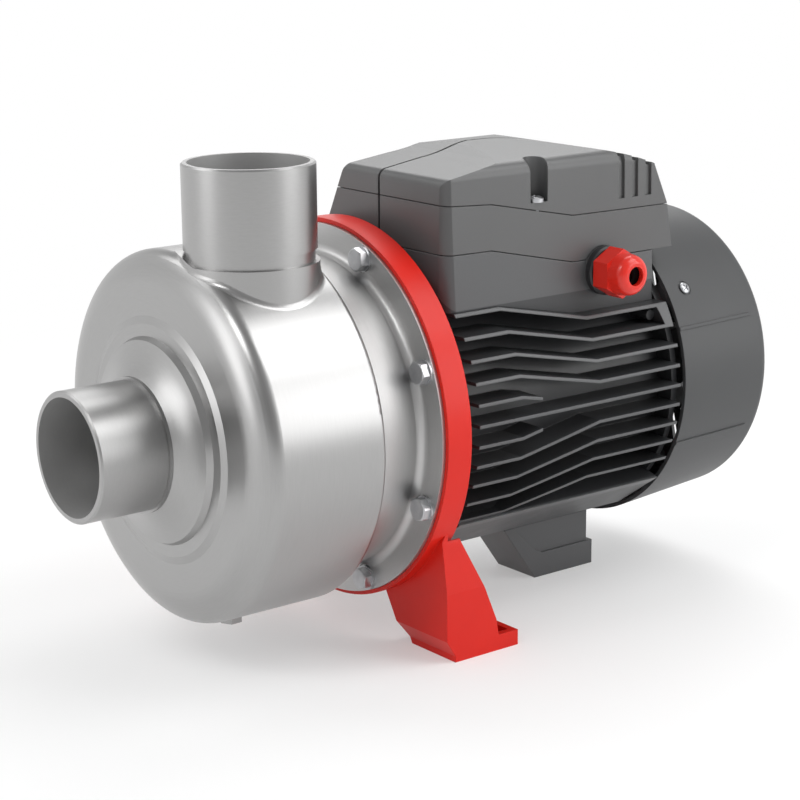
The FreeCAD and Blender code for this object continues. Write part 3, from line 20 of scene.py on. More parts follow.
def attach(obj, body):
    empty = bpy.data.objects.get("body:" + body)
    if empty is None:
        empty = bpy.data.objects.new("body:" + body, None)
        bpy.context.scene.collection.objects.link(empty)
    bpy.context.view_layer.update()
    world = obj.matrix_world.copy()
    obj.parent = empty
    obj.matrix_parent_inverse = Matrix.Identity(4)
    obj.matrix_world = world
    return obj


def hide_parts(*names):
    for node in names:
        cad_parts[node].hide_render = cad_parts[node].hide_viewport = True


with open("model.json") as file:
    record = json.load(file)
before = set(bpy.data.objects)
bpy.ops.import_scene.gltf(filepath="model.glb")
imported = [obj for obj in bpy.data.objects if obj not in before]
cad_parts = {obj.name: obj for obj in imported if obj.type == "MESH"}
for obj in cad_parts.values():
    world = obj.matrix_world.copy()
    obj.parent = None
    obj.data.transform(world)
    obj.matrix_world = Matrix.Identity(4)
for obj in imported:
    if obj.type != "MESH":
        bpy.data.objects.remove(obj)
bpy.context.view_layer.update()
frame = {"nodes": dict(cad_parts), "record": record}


nodes = frame["nodes"]

# %% [markdown]
# ## The camera
#
# The picture is taken with a long lens from the pump's front left, a little above it, so
# upright lines stay nearly upright. A camera looks along its own -Z, so its matrix is built
# from three directions: right, up and backwards. That is plainer than a tracking constraint,
# and it keeps the picture's half degree of roll.

# %% Place the camera
AZIMUTH, ELEVATION, ROLL = (math.radians(angle) for angle in (-37.667, 14.204, -0.498))
CAMERA_PLACE = Vector((-0.6098, -0.8068, 0.3635))
LENS_MM, SENSOR_MM, NEAREST = 95.49, 36, 0.02

backwards = Vector((math.sin(AZIMUTH) * math.cos(ELEVATION),
                    -math.cos(AZIMUTH) * math.cos(ELEVATION),
                    math.sin(ELEVATION)))
level_right = Vector((0, 0, 1)).cross(backwards).normalized()
level_up = backwards.cross(level_right)
right = math.cos(ROLL) * level_right + math.sin(ROLL) * level_up
up = math.cos(ROLL) * level_up - math.sin(ROLL) * level_right

camera = bpy.data.objects.new("camera", bpy.data.cameras.new("camera"))
camera.data.lens = LENS_MM
camera.data.sensor_width = SENSOR_MM
camera.data.clip_start = NEAREST
camera.matrix_world = Matrix.Translation(CAMERA_PLACE) @ Matrix(
    (right, up, backwards)).transposed().to_4x4()
bpy.context.scene.collection.objects.link(camera)
bpy.context.scene.camera = camera
print("camera at", [round(c, 3) for c in camera.location])

# %% [markdown]
# ## Shader sums written as Python
#
# A finish is mostly small sums on patterns: a little noise times 0.1, plus a base value. Each
# sum is a Math node. Wired by hand they take a screenful of boxes, so here a `Signal` wraps a
# socket, and Python's own + - * / make the nodes. A `Finish` is one material, and a `Tree`'s
# `node` method adds every node that isn't a sum.

# %% Signal and Finish
class Signal:
    """What one output socket gives: a value that changes over a surface or a set of points."""

    def __init__(self, tree, socket):
        self.tree = tree
        self.socket = socket

    def sum(self, operation, first, second=0.0):
        return self.tree.node("ShaderNodeMath", {"operation": operation},
                              {0: first, 1: second})

    def __add__(self, other):
        return self.sum("ADD", self, other)

    def __sub__(self, other):
        return self.sum("SUBTRACT", self, other)

    def __mul__(self, other):
        return self.sum("MULTIPLY", self, other)

    def __truediv__(self, other):
        return self.sum("DIVIDE", self, other)

    def __rsub__(self, other):
        return self.sum("SUBTRACT", other, self)

    __radd__ = __add__
    __rmul__ = __mul__

    def step(self, low, high):
        """0 below low, 1 above high, and a soft ramp between."""
        return self.tree.node("ShaderNodeMapRange", {"interpolation_type": "SMOOTHSTEP"},
                              {0: self, 1: low, 2: high, 3: 0.0, 4: 1.0})


class Tree:
    """A tree of nodes, in a material, in the sky or in a shape."""

    def __init__(self, links):
        self.links = links
        links.nodes.clear()

    def node(self, kind, settings=None, inputs=None, output=0):
        """Adds a node: its settings first, then values or signals for its sockets."""
        made = self.links.nodes.new(kind)
        for name, value in (settings or {}).items():
            setattr(made, name, value)
        for name, value in (inputs or {}).items():
            if isinstance(value, Signal):
                self.links.links.new(value.socket, made.inputs[name])
            else:
                made.inputs[name].default_value = value
        return Signal(self, made.outputs[output]) if made.outputs else None


class Finish(Tree):
    """One material, built from patterns that read the piece's own coordinates."""

    def __init__(self, name):
        self.material = bpy.data.materials.new(name)
        self.material.use_nodes = True
        super().__init__(self.material.node_tree)
        self.place = self.node("ShaderNodeTexCoord", output="Object")

    def noise(self, scale, detail=2.0, roughness=0.5, where=None):
        """A cloudy value round 0.5, with about `scale` clouds to the metre."""
        return self.node("ShaderNodeTexNoise", {},
                         {"Vector": where or self.place, "Scale": scale,
                          "Detail": detail, "Roughness": roughness})

    def mixed(self, amount, first, second):
        """A colour between two colours."""
        return self.node("ShaderNodeMix", {"data_type": "RGBA"},
                         {0: amount, 6: first, 7: second}, output=2)

    def bumps(self, height, depth, edge=0.0):
        """Turns a height into a leaning normal, over edges rounded by a radius. In metres."""
        inputs = {"Height": height, "Distance": depth, "Strength": 1.0}
        if edge:
            inputs["Normal"] = self.node("ShaderNodeBevel", {"samples": 4}, {"Radius": edge})
        return self.node("ShaderNodeBump", {}, inputs)

    def surface(self, **sockets):
        """Closes the finish with one Principled shader. Names use _ for a space."""
        inputs = {name.replace("_", " "): value for name, value in sockets.items()}
        return self.closed(self.node("ShaderNodeBsdfPrincipled", {}, inputs))

    def closed(self, shader):
        """Sends a shader to the material's output."""
        self.node("ShaderNodeOutputMaterial", {}, {"Surface": shader})
        return self.material


def colour(red, green, blue):
    return (red, green, blue, 1.0)


print("helpers: Signal, Tree, Finish, colour")

# %% [markdown]
# ## Stainless steel, spun and blasted
#
# The casing is pressed from sheet and the stubs are cut from tube. Both are turned against an
# abrasive, so very fine lines run round their axis, and then blasted to a satin. The lines
# are noise that is stretched round the axis: it is read at (along, radius, angle), with the
# angle scaled down. The lines are half a millimetre apart and only a few micrometres deep,
# because a deeper bump would break a broad highlight into blotches.
#
# Nothing polishes the bore of a tube, so inside it the steel is rougher and has less shine.
# The flange is more matt than the drum, because it is pressed on its own. Its colour is
# painted paler than the drum's, to stand in for the light that the drum keeps off it.

# %% Lines that run round an axis
SHAFT_HEIGHT = 0.109
SHAFT_MIDDLE = (0.0, 0.0, SHAFT_HEIGHT)
LINES_PER_METRE, LINES_PER_RADIAN = 2000.0, 9.0
BORE_EDGE = 0.0006


def about_axis(finish, along, centre):
    """The way along an axis and the two ways across it."""
    moved = finish.node("ShaderNodeVectorMath", {"operation": "SUBTRACT"},
                        {0: finish.place, 1: centre})
    x, y, z = (finish.node("ShaderNodeSeparateXYZ", {}, {0: moved}, output=axis)
               for axis in "XYZ")
    return (x, y, z) if along == "X" else (z, y, x)


def off_axis(side, top):
    """The distance from the axis."""
    return side.sum("SQRT", side * side + top * top)


def stainless(name, along="X", centre=SHAFT_MIDDLE, satin=0.27, shade=0.39, bore=0.0):
    """Satin stainless steel with turned lines round one axis. It is dull inside a bore."""
    finish = Finish(name)
    axis, side, top = about_axis(finish, along, centre)
    radius = off_axis(side, top)
    angle = side.sum("ARCTAN2", side, top)
    around = finish.node("ShaderNodeCombineXYZ", {},
                         {0: axis * LINES_PER_METRE, 1: radius * LINES_PER_METRE,
                          2: angle * LINES_PER_RADIAN})
    lines = finish.noise(1.0, roughness=0.6, where=around)
    grain = finish.noise(3000.0, detail=1.0)
    cloud = finish.noise(14.0)
    tone = finish.mixed(lines, colour(0.94 * shade, 0.935 * shade, 0.93 * shade),
                        colour(1.06 * shade, 1.055 * shade, 1.05 * shade))
    inside = 1.0 - radius.step(bore + BORE_EDGE / 3, bore + BORE_EDGE)
    rough = satin + 0.04 * cloud + 0.05 * lines + 0.25 * inside
    leaning = finish.bumps(0.6 * lines + 0.4 * grain, 0.000004)
    return finish.surface(Base_Color=tone, Metallic=1.0 - 0.5 * inside, Roughness=rough,
                          Normal=leaning)


OUTLET_AXIS = (-0.0903, -0.0255, 0.0)
DRAIN_AXIS = (-0.090, 0.0, 0.0)
PIPE_BORE = 0.02735
casing_steel = stainless("casing_steel")
# The flange's paler shade is painted light: it stands in for the light the drum keeps off it.
flange_steel = stainless("flange_steel", satin=0.38, shade=0.52)
inlet_steel = stainless("inlet_steel", satin=0.32, bore=PIPE_BORE)
outlet_steel = stainless("outlet_steel", "Z", OUTLET_AXIS, bore=PIPE_BORE)
drain_steel = stainless("drain_steel", "Z", DRAIN_AXIS)
steels = (casing_steel, flange_steel, inlet_steel, outlet_steel, drain_steel)
print("stainless steel:", [steel.name for steel in steels])

# %% [markdown]
# ## Plated steel
#
# The bolts and screws are zinc plated: brighter and a little bluer than the casing, with
# small darker clouds and fine scratches from the spanner.

# %% Plated steel for fasteners and bearings
def plated_steel():
    finish = Finish("plated_steel")
    cloud = finish.noise(260.0, detail=3.0)
    scratch = finish.noise(900.0, roughness=0.7)
    tone = finish.mixed(cloud, colour(0.40, 0.41, 0.43), colour(0.62, 0.62, 0.63))
    rough = 0.26 + 0.16 * scratch
    return finish.surface(Base_Color=tone, Metallic=1.0, Roughness=rough,
                          Normal=finish.bumps(scratch, 0.00002))


zinc = plated_steel()
print("zinc plate:", zinc.name)

# %% [markdown]
# ## Red paint on cast iron
#
# The bracket is a casting under a thick glossy coat. Paint rounds off the casting's skin, so
# what is left is a slow waviness and a tiny orange peel. Two noises of different size make
# the bump, and a clear coat adds the second, sharper reflection of paint.

# %% Red paint
def red_paint():
    finish = Finish("red_paint")
    peel = finish.noise(620.0)
    skin = finish.noise(90.0, detail=3.0)
    tone = finish.mixed(finish.noise(40.0), colour(0.64, 0.012, 0.005),
                        colour(0.72, 0.016, 0.007))
    rough = 0.34 + 0.12 * skin
    return finish.surface(Base_Color=tone, Roughness=rough, Specular_IOR_Level=0.25,
                          Coat_Weight=0.08, Coat_Roughness=0.2,
                          Normal=finish.bumps(0.4 * peel + 0.6 * skin, 0.00006, edge=0.0005))


bracket_paint = red_paint()
print("bracket:", bracket_paint.name)

# %% [markdown]
# ## Dark grey paint and dark grey plastic
#
# The motor's castings have a satin powder coat, and its fan cover and terminal box are
# moulded. Both are nearly black with a grey sheen. Powder coat has a coarser peel. The tips
# of the fins, which a distance from the shaft picks out, get a painted highlight: a paler
# grey that stands in for the light they catch. The mould is spark-eroded, which leaves a
# very fine, even grain.

# %% Dark grey finishes
FIN_TIP_RADIUS, TIP_FADE = 0.081, 0.0001


def grey_paint():
    finish = Finish("grey_paint")
    peel = finish.noise(850.0)
    skin = finish.noise(120.0, detail=3.0)
    tone = finish.mixed(finish.noise(30.0), colour(0.032, 0.033, 0.035),
                        colour(0.044, 0.045, 0.048))
    _, side, top = about_axis(finish, "X", SHAFT_MIDDLE)
    # Painted highlight: the fin tips get a paler grey that stands in for the light they catch.
    painted_tip_highlight = off_axis(side, top).step(FIN_TIP_RADIUS - 4 * TIP_FADE, FIN_TIP_RADIUS - TIP_FADE)
    tone = finish.mixed(painted_tip_highlight, tone, colour(0.090, 0.092, 0.095))
    rough = 0.34 + 0.10 * skin
    return finish.surface(Base_Color=tone, Roughness=rough,
                          Normal=finish.bumps(0.6 * peel + 0.4 * skin, 0.00005, edge=0.0008))


def grey_plastic(name, dark, pale, rough):
    finish = Finish(name)
    grain = finish.noise(1700.0, roughness=0.6)
    tone = finish.mixed(finish.noise(18.0), colour(*dark), colour(*pale))
    return finish.surface(Base_Color=tone, Roughness=rough + 0.10 * grain,
                          Normal=finish.bumps(grain, 0.00003, edge=0.0005))


motor_paint = grey_paint()
cover_plastic = grey_plastic("cover_plastic", (0.046, 0.047, 0.049), (0.058, 0.060, 0.062),
                             0.40)
box_plastic = grey_plastic("box_plastic", (0.086, 0.087, 0.088), (0.103, 0.104, 0.105), 0.30)
print("greys:", [grey.name for grey in (motor_paint, cover_plastic, box_plastic)])

# %% [markdown]
# ## Moulded black, glossy red, rubber
#
# Small mouldings differ mainly in how sharp their reflection is. One function makes them all
# from a colour, a roughness and the depth of the grain.

# %% A moulding in any colour
def moulding(name, tint, rough, depth=0.00003):
    finish = Finish(name)
    grain = finish.noise(900.0)
    cloud = finish.noise(60.0)
    darker = tuple(0.85 * c for c in tint)
    tone = finish.mixed(cloud, colour(*darker), colour(*tint))
    return finish.surface(Base_Color=tone, Roughness=rough + 0.08 * (grain - 0.5),
                          Normal=finish.bumps(grain, depth))


black_plastic = moulding("black_plastic", (0.022, 0.022, 0.024), 0.42)
red_plastic = moulding("red_plastic", (0.80, 0.028, 0.016), 0.22, depth=0.00001)
rubber = moulding("rubber", (0.020, 0.020, 0.020), 0.62, depth=0.00005)
white_plastic = moulding("white_plastic", (0.78, 0.77, 0.74), 0.40)
board = moulding("board", (0.16, 0.06, 0.025), 0.50)
seal_carbon = moulding("seal_carbon", (0.045, 0.045, 0.047), 0.30)
seal_ceramic = moulding("seal_ceramic", (0.82, 0.79, 0.72), 0.18)
print("mouldings:", [small.name for small in (black_plastic, red_plastic, rubber,
                                              white_plastic, board, seal_carbon,
                                              seal_ceramic)])

# %% [markdown]
# ## Metals inside the motor
#
# The cores are stacks of thin stamped sheets, so lines half a millimetre apart run across the
# shaft. A sine wave along X gives them. Copper, brass and cast aluminium are plain metals
# with a cloudy tarnish.

# %% Inner metals
def inner_metal(name, tint, rough, sheets=0.0):
    finish = Finish(name)
    cloud = finish.noise(140.0, detail=3.0)
    grain = finish.noise(1200.0)
    darker = tuple(0.7 * c for c in tint)
    tone = finish.mixed(cloud, colour(*darker), colour(*tint))
    height = grain
    if sheets:
        split = finish.node("ShaderNodeSeparateXYZ", {}, {0: finish.place}, output="X")
        height = 0.3 * grain + 0.5 * split.sum("SINE", split * (2 * math.pi / sheets))
    return finish.surface(Base_Color=tone, Metallic=1.0, Roughness=rough + 0.15 * cloud,
                          Normal=finish.bumps(height, 0.00004))


lamination = inner_metal("lamination", (0.34, 0.34, 0.36), 0.40, sheets=0.0005)
copper = inner_metal("copper", (0.72, 0.30, 0.13), 0.25)
brass = inner_metal("brass", (0.80, 0.58, 0.25), 0.22)
end_ring = inner_metal("end_ring", (0.70, 0.70, 0.72), 0.38)
print("inner metals:", [metal.name for metal in (lamination, copper, brass, end_ring)])

# %% [markdown]
# ## Dressing the CAD nodes
#
# The record names a material slot for each node, such as stainless or red paint. The finish
# is chosen by that slot, with six exceptions. The discharge stub and the drain plug stand
# upright, so their turned lines run round Z. Both stubs have their dull bore, and the flange
# is painted paler than the drum, to stand in for the light that the drum keeps off it. The
# terminal box and its cover are moulded in a paler and glossier grey than the fan cover.

# %% Give every node its finish
FINISHES = {
    "stainless": casing_steel,
    "steel": zinc,
    "red_paint": bracket_paint,
    "grey_paint": motor_paint,
    "grey_plastic": cover_plastic,
    "black_plastic": black_plastic,
    "red_plastic": red_plastic,
    "rubber": rubber,
    "white_plastic": white_plastic,
    "board": board,
    "seal_carbon": seal_carbon,
    "seal_ceramic": seal_ceramic,
    "lamination": lamination,
    "copper": copper,
    "brass": brass,
    "end_ring": end_ring,
}
ON_ITS_OWN = {"suction_pipe": inlet_steel, "discharge_pipe": outlet_steel,
              "casing_flange": flange_steel, "drain_plug": drain_steel,
              "terminal_box": box_plastic, "terminal_box_cover": box_plastic}

slot_of = {part["node"]: part["material_slot"] for part in frame["record"]["subparts"]}


def dress(piece, finish):
    piece.data.materials.clear()
    piece.data.materials.append(finish)


for name, node in nodes.items():
    dress(node, ON_ITS_OWN.get(name) or FINISHES[slot_of[name]])
print("finishes in use:", len({node.data.materials[0].name for node in nodes.values()}))

# %% [markdown]
# ## A hexagon bolt
#
# The CAD bolts are plain prisms. A real hexagon head is turned at 30 degrees on its face, so
# each side ends in an arc. A bevel would cut the edges straight, so the bolt is made in mesh
# code: at every angle the head's edge lies where the prism meets that cone.

# %% One hexagon bolt
BOLT_FLATS, BOLT_HEAD = 0.010, 0.004
BOLT_SHANK_RADIUS, BOLT_SHANK = 0.003, 0.0166
BOLT_TURN = math.radians(-27.5)
CHAMFER_FACE, CHAMFER_ANGLE = 0.475, math.radians(30)
TIP_CHAMFER = 0.12


def ring_of(shape, radii, levels):
    """A closed ring of vertices. Its radius and level may change with the angle."""
    count = len(radii)
    return [shape.verts.new((radius * math.cos(2 * math.pi * step / count),
                             radius * math.sin(2 * math.pi * step / count), level))
            for step, (radius, level) in enumerate(zip(radii, levels))]


def skin(shape, rings):
    """Joins rings to each other and closes both ends with a fan."""
    for lower, upper in zip(rings, rings[1:]):
        for step in range(len(lower)):
            after = (step + 1) % len(lower)
            shape.faces.new((lower[step], lower[after], upper[after], upper[step]))
    for end, outwards in ((rings[0], False), (rings[-1], True)):
        middle = shape.verts.new(sum((vert.co for vert in end), Vector()) / len(end))
        for step in range(len(end)):
            after = (step + 1) % len(end)
            pair = (end[step], end[after]) if outwards else (end[after], end[step])
            shape.faces.new((*pair, middle))


def as_mesh(name, shape):
    mesh = bpy.data.meshes.new(name)
    shape.to_mesh(mesh)
    shape.free()
    return mesh


def hexagon_bolt(flats, head, shank_radius, shank_length, turn, steps=36):
    """A bolt along Z. Its head stands on z = 0 and its shank hangs below. `flats` is the
    width across flats, and one corner of the head lies at the angle `turn`."""
    shape = bmesh.new()
    prism = []
    for step in range(steps):
        angle = (2 * math.pi * step / steps - turn) % (math.pi / 3) - math.pi / 6
        prism.append(0.5 * flats / math.cos(angle))
    face = CHAMFER_FACE * flats
    slope = math.tan(CHAMFER_ANGLE)
    edge = [head - (radius - face) * slope for radius in prism]
    tip = TIP_CHAMFER * shank_radius
    skin(shape, [
        ring_of(shape, [shank_radius - tip] * steps, [-shank_length] * steps),
        ring_of(shape, [shank_radius] * steps, [tip - shank_length] * steps),
        ring_of(shape, [shank_radius] * steps, [0.0] * steps),
        ring_of(shape, prism, [0.0] * steps),
        ring_of(shape, prism, edge),
        ring_of(shape, [face] * steps, [head] * steps),
    ])
    return as_mesh("hexagon_bolt", shape)


one_bolt = hexagon_bolt(BOLT_FLATS, BOLT_HEAD, BOLT_SHANK_RADIUS, BOLT_SHANK, BOLT_TURN)
print("one bolt:", len(one_bolt.polygons), "faces")

# %% [markdown]
# ## Copies on a circle, with Geometry Nodes
#
# Eight bolts stand on one circle, each turned with its place. A tree of nodes takes the points
# of a circle, puts the same part on each and turns it by its share of the full turn. The tree
# has named inputs, so another flange only needs other numbers. It ends in real faces with one
# finish, because an export drops copies that are only instances.

# %% A layout of copies on a circle
class Layout(Tree):
    """A Geometry Nodes tree whose inputs have names."""

    def __init__(self, name, **kinds):
        group = bpy.data.node_groups.new(name, "GeometryNodeTree")
        super().__init__(group)
        for label, kind in kinds.items():
            group.interface.new_socket(label, in_out="INPUT", socket_type=kind)
        group.interface.new_socket("Geometry", in_out="OUTPUT",
                                   socket_type="NodeSocketGeometry")

    def given(self, label):
        """One of the tree's inputs."""
        return self.node("NodeGroupInput", output=label)

    def made(self, piece, **values):
        """Runs the tree with these values and returns the plain mesh."""
        modifier = piece.modifiers.new("layout", "NODES")
        modifier.node_group = self.links
        for item in self.links.interface.items_tree:
            if item.in_out == "INPUT":
                modifier[item.identifier] = values[item.name]
        shapes = bpy.context.evaluated_depsgraph_get()
        mesh = bpy.data.meshes.new_from_object(piece.evaluated_get(shapes))
        piece.modifiers.clear()
        return mesh


circle = Layout("copies_on_a_circle", Part="NodeSocketObject", Count="NodeSocketInt",
                Radius="NodeSocketFloat", First="NodeSocketFloat", Place="NodeSocketVector",
                Finish="NodeSocketMaterial")
spots = circle.node("GeometryNodeMeshCircle", {},
                    {"Vertices": circle.given("Count"), "Radius": circle.given("Radius")})
spread = circle.node("GeometryNodeInputIndex") * (2 * math.pi) / circle.given("Count")
part = circle.node("GeometryNodeObjectInfo", {}, {"Object": circle.given("Part")},
                   output="Geometry")
placed = circle.node("GeometryNodeInstanceOnPoints", {},
                     {"Points": spots, "Instance": part,
                      "Rotation": circle.node("ShaderNodeCombineXYZ", {}, {2: spread})})
spun = circle.node("GeometryNodeTransform", {},
                   {"Geometry": placed,
                    "Rotation": circle.node("ShaderNodeCombineXYZ", {},
                                            {2: circle.given("First")})})
stood = circle.node("GeometryNodeTransform", {},
                    {"Geometry": spun, "Translation": circle.given("Place"),
                     "Rotation": (0.0, -math.pi / 2, 0.0)})
solid = circle.node("GeometryNodeRealizeInstances", {}, {"Geometry": stood})
coated = circle.node("GeometryNodeSetMaterial", {},
                     {"Geometry": solid, "Material": circle.given("Finish")})
circle.node("NodeGroupOutput", {}, {"Geometry": coated})
print("inputs:", [item.name for item in circle.links.interface.items_tree
                  if item.in_out == "INPUT"])

# %% [markdown]
# ## Eight bolts on the flange
#
# The new bolts take the place of the plain ones, on the same circle and at the same height, so
# their heads still sit on the washers that the CAD model has there.

# %% The eight flange bolts
BOLT_CIRCLE, BOLT_SEAT = 0.0838, -0.0337
BOLT_COUNT, BOLT_FIRST = 8, math.radians(22.5)


def piece_of(name, mesh, body="pump"):
    """A finished piece on one of the bodies."""
    made = bpy.data.objects.new(name, mesh)
    bpy.context.scene.collection.objects.link(made)
    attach(made, body)
    return made


def copies(single, finish, **layout):
    """Runs the circle tree on one mesh and returns the mesh of all its copies."""
    pattern = bpy.data.objects.new("pattern", single)
    holder = bpy.data.objects.new("holder", bpy.data.meshes.new("holder"))
    dress(pattern, finish)
    for helper in (pattern, holder):
        bpy.context.scene.collection.objects.link(helper)
    made = circle.made(holder, Part=pattern, Finish=finish, **layout)
    for helper in (pattern, holder):
        bpy.data.objects.remove(helper)
    return made


bolts = copies(one_bolt, zinc, Count=BOLT_COUNT, Radius=BOLT_CIRCLE, First=BOLT_FIRST,
               Place=Vector((BOLT_SEAT, 0.0, SHAFT_HEIGHT)))
flange_bolts = piece_of("chamfered_bolts", bolts)
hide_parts("flange_bolts")
print("flange bolts:", len(bolts.polygons), "faces,", len(bolts.materials), "finish,",
      {face.material_index for face in bolts.polygons})

# %% [markdown]
# ## The cooling fan
#
# The fan shows behind the fins and through the grille. It is a hub with a thin disc and nine
# straight blades, so that it blows whichever way round the motor turns. The disc and the hub
# are one turned profile. The blades are copies of one plate, and the same tree of nodes sets
# them on a circle, because a blade is to its fan what a bolt is to its flange.

# %% A fan out of a turned disc and nine plates
FAN_FRONT, FAN_DISC, FAN_BLADE_END, FAN_HUB_END = 0.138, 0.140, 0.162, 0.166
FAN_BORE, FAN_HUB, FAN_EDGE, FAN_TIP = 0.00655, 0.014, 0.060, 0.066
FAN_BLADES, FAN_FIRST = 9, math.radians(16.0)
FAN_PLATE, FAN_ROUND = 0.002, 0.0008
ROOT_SINK, DISC_SINK = 0.001, 0.0005    # how far a blade reaches into the hub and the disc
BLADE_BEVEL = 0.3                       # as a share of the blade's thickness


def turned_ring(profile, steps=72):
    """A closed ring about the shaft, from (station, radius) points in order round it."""
    shape = bmesh.new()
    rings = [[shape.verts.new((station, radius * math.cos(2 * math.pi * step / steps),
                               SHAFT_HEIGHT + radius * math.sin(2 * math.pi * step / steps)))
              for step in range(steps)] for station, radius in profile]
    for here, there in zip(rings, rings[1:] + rings[:1]):
        for step in range(steps):
            after = (step + 1) % steps
            shape.faces.new((here[step], here[after], there[after], there[step]))
    bmesh.ops.recalc_face_normals(shape, faces=shape.faces)
    return shape


def blade_plate(length, width, thick):
    """A plate that stands on z = 0, with its long side along X and all its edges rounded."""
    shape = bmesh.new()
    bmesh.ops.create_cube(shape, size=1.0)
    shape.transform(Matrix.Translation((0, 0, width / 2))
                    @ Matrix.Diagonal((length, thick, width, 1.0)))
    bmesh.ops.bevel(shape, geom=shape.edges[:], offset=BLADE_BEVEL * thick, segments=2,
                    affect="EDGES")
    return as_mesh("blade_plate", shape)


blade_length = FAN_TIP - FAN_HUB + ROOT_SINK
one_blade = blade_plate(blade_length, FAN_BLADE_END - FAN_DISC + DISC_SINK, FAN_PLATE)
blades = copies(one_blade, black_plastic, Count=FAN_BLADES,
                Radius=FAN_TIP - blade_length / 2, First=FAN_FIRST,
                Place=Vector((FAN_BLADE_END, 0.0, SHAFT_HEIGHT)))
fan_shape = turned_ring([
    (FAN_FRONT, FAN_BORE), (FAN_FRONT, FAN_EDGE), (FAN_DISC, FAN_EDGE), (FAN_DISC, FAN_HUB),
    (FAN_HUB_END - FAN_ROUND, FAN_HUB), (FAN_HUB_END, FAN_HUB - FAN_ROUND),
    (FAN_HUB_END, FAN_BORE)])
fan_shape.from_mesh(blades)
fan = piece_of("bladed_fan", as_mesh("bladed_fan", fan_shape), "rotor")
dress(fan, black_plastic)
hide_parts("cooling_fan")
print("fan:", len(fan.data.polygons), "faces")

# %% [markdown]
# ## Screws with a cross recess
#
# A pan head is a dome over a short upright wall. Here it is a height over a polar grid, and
# the recess lowers that height wherever a point is near either arm of a cross. The grid is
# fine enough for the arms to keep straight sides.

# %% One cross-recess screw
COVER_SCREW = {"radius": 0.0029, "head": 0.0018, "shank_radius": 0.002, "shank_length": 0.009}
BOX_SCREW = {"radius": 0.004, "head": 0.003, "shank_radius": 0.0018, "shank_length": 0.011}
CROSS_ARM, CROSS_REACH, CROSS_DEPTH = 0.15, 0.62, 0.45
DOME_DROP, DOME_POWER = 0.42, 2.6


def cross_screw(radius, head, shank_radius, shank_length, spokes=48, rings=15):
    """A screw along Z. Its head stands on z = 0 and its shank hangs below."""
    shape = bmesh.new()
    arm, reach, depth = CROSS_ARM * radius, CROSS_REACH * radius, CROSS_DEPTH * head
    layers = [ring_of(shape, [shank_radius] * spokes, [-shank_length] * spokes),
              ring_of(shape, [shank_radius] * spokes, [0.0] * spokes),
              ring_of(shape, [radius] * spokes, [0.0] * spokes)]
    for ring in range(rings, 0, -1):
        share = ring / rings
        levels = []
        for spoke in range(spokes):
            angle = 2 * math.pi * spoke / spokes
            across = min(abs(math.sin(angle)), abs(math.cos(angle))) * share * radius
            level = head * (1 - DOME_DROP * share ** DOME_POWER)
            if across < arm and share * radius < reach:
                level -= depth
            levels.append(level)
        layers.append(ring_of(shape, [share * radius] * spokes, levels))
    skin(shape, layers)
    return shape


trial = cross_screw(**COVER_SCREW)
print("one screw:", len(trial.faces), "faces")
trial.free()

# %% [markdown]
# ## Five screws in their places
#
# Three small screws point at the shaft through the rim of the fan cover, and two larger ones
# hold the terminal box's cover from above. They stand at angles of their own, so a list of
# places is plainer here than a tree of nodes.

# %% The screws of the fan cover and of the terminal box
COVER_SCREW_X, COVER_SCREW_RADIUS = 0.144, 0.07912
COVER_SCREW_ANGLES = (54.7, 180.0, 305.3)
BOX_SCREW_PLACES = ((0.0505, -0.0575, 0.2075), (0.0505, 0.0205, 0.2075))
COVER_SCREW_TURN, BOX_SCREW_TURN = math.radians(30), 0.5


def screws(name, node, places, size):
    """One piece out of equal screws, each at its own place."""
    merged = bmesh.new()
    for place in places:
        single = cross_screw(**size)
        single.transform(place)
        copy = as_mesh("screw", single)
        merged.from_mesh(copy)
        bpy.data.meshes.remove(copy)
    made = piece_of(name, as_mesh(name, merged))
    dress(made, zinc)
    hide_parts(node)
    return made


cover_places = [Matrix.Translation((COVER_SCREW_X, 0, SHAFT_HEIGHT))
                @ Matrix.Rotation(math.radians(angle), 4, "X")
                @ Matrix.Translation((0, 0, COVER_SCREW_RADIUS))
                @ Matrix.Rotation(COVER_SCREW_TURN, 4, "Z")
                for angle in COVER_SCREW_ANGLES]
box_places = [Matrix.Translation(place) @ Matrix.Rotation(BOX_SCREW_TURN, 4, "Z")
              for place in BOX_SCREW_PLACES]
cover_screws = screws("cover_cross_screws", "fan_cover_screws", cover_places, COVER_SCREW)
box_screws = screws("box_cross_screws", "terminal_cover_screws", box_places, BOX_SCREW)
print("screws:", [len(screw.data.polygons) for screw in (cover_screws, box_screws)], "faces")

# %% [markdown]
# ## The studio
#
# Metal shows whatever is round it, so the surroundings are the picture: a wide pale floor, a
# pale sky, and soft boxes where the highlights should lie. The large box high on the right
# makes the broad highlight on the drum, and the small one overhead carries it on over the top
# of the suction stub. The low ones on either side draw a bright band down both edges of the
# discharge stub, with the dark of the room between them.

# %% Light levels
GLOW_NEAR, GLOW_FAR = 0.35, 1.0
GLOW_FROM, GLOW_TO = 0.15, 0.75
SKY_LOW, SKY_HIGH, SKY_CAMERA = 0.90, 0.40, 0.35
SOFT_BOXES = (
    # name, place, width, height, watts
    ("key_box", (0.66, -0.66, 1.15), 0.8, 0.7, 6.3),
    ("right_box", (0.80, -1.00, 0.47), 0.8, 0.7, 4.5),
    ("front_box", (-0.85, -0.19, 0.94), 0.35, 0.35, 2.6),
    ("left_box", (-1.28, 0.35, 0.45), 0.6, 0.7, 2.8),
    ("back_box", (0.70, 0.78, 0.95), 0.8, 0.7, 3.2),
    ("top_box", (0.50, 0.26, 1.05), 0.5, 0.5, 2.4),
    ("back_left_box", (-0.62, 0.72, 1.10), 0.6, 0.6, 2.6),
)
print("soft boxes, W/m2:", {name: round(power / (width * height), 1)
                            for name, _, width, height, power in SOFT_BOXES})

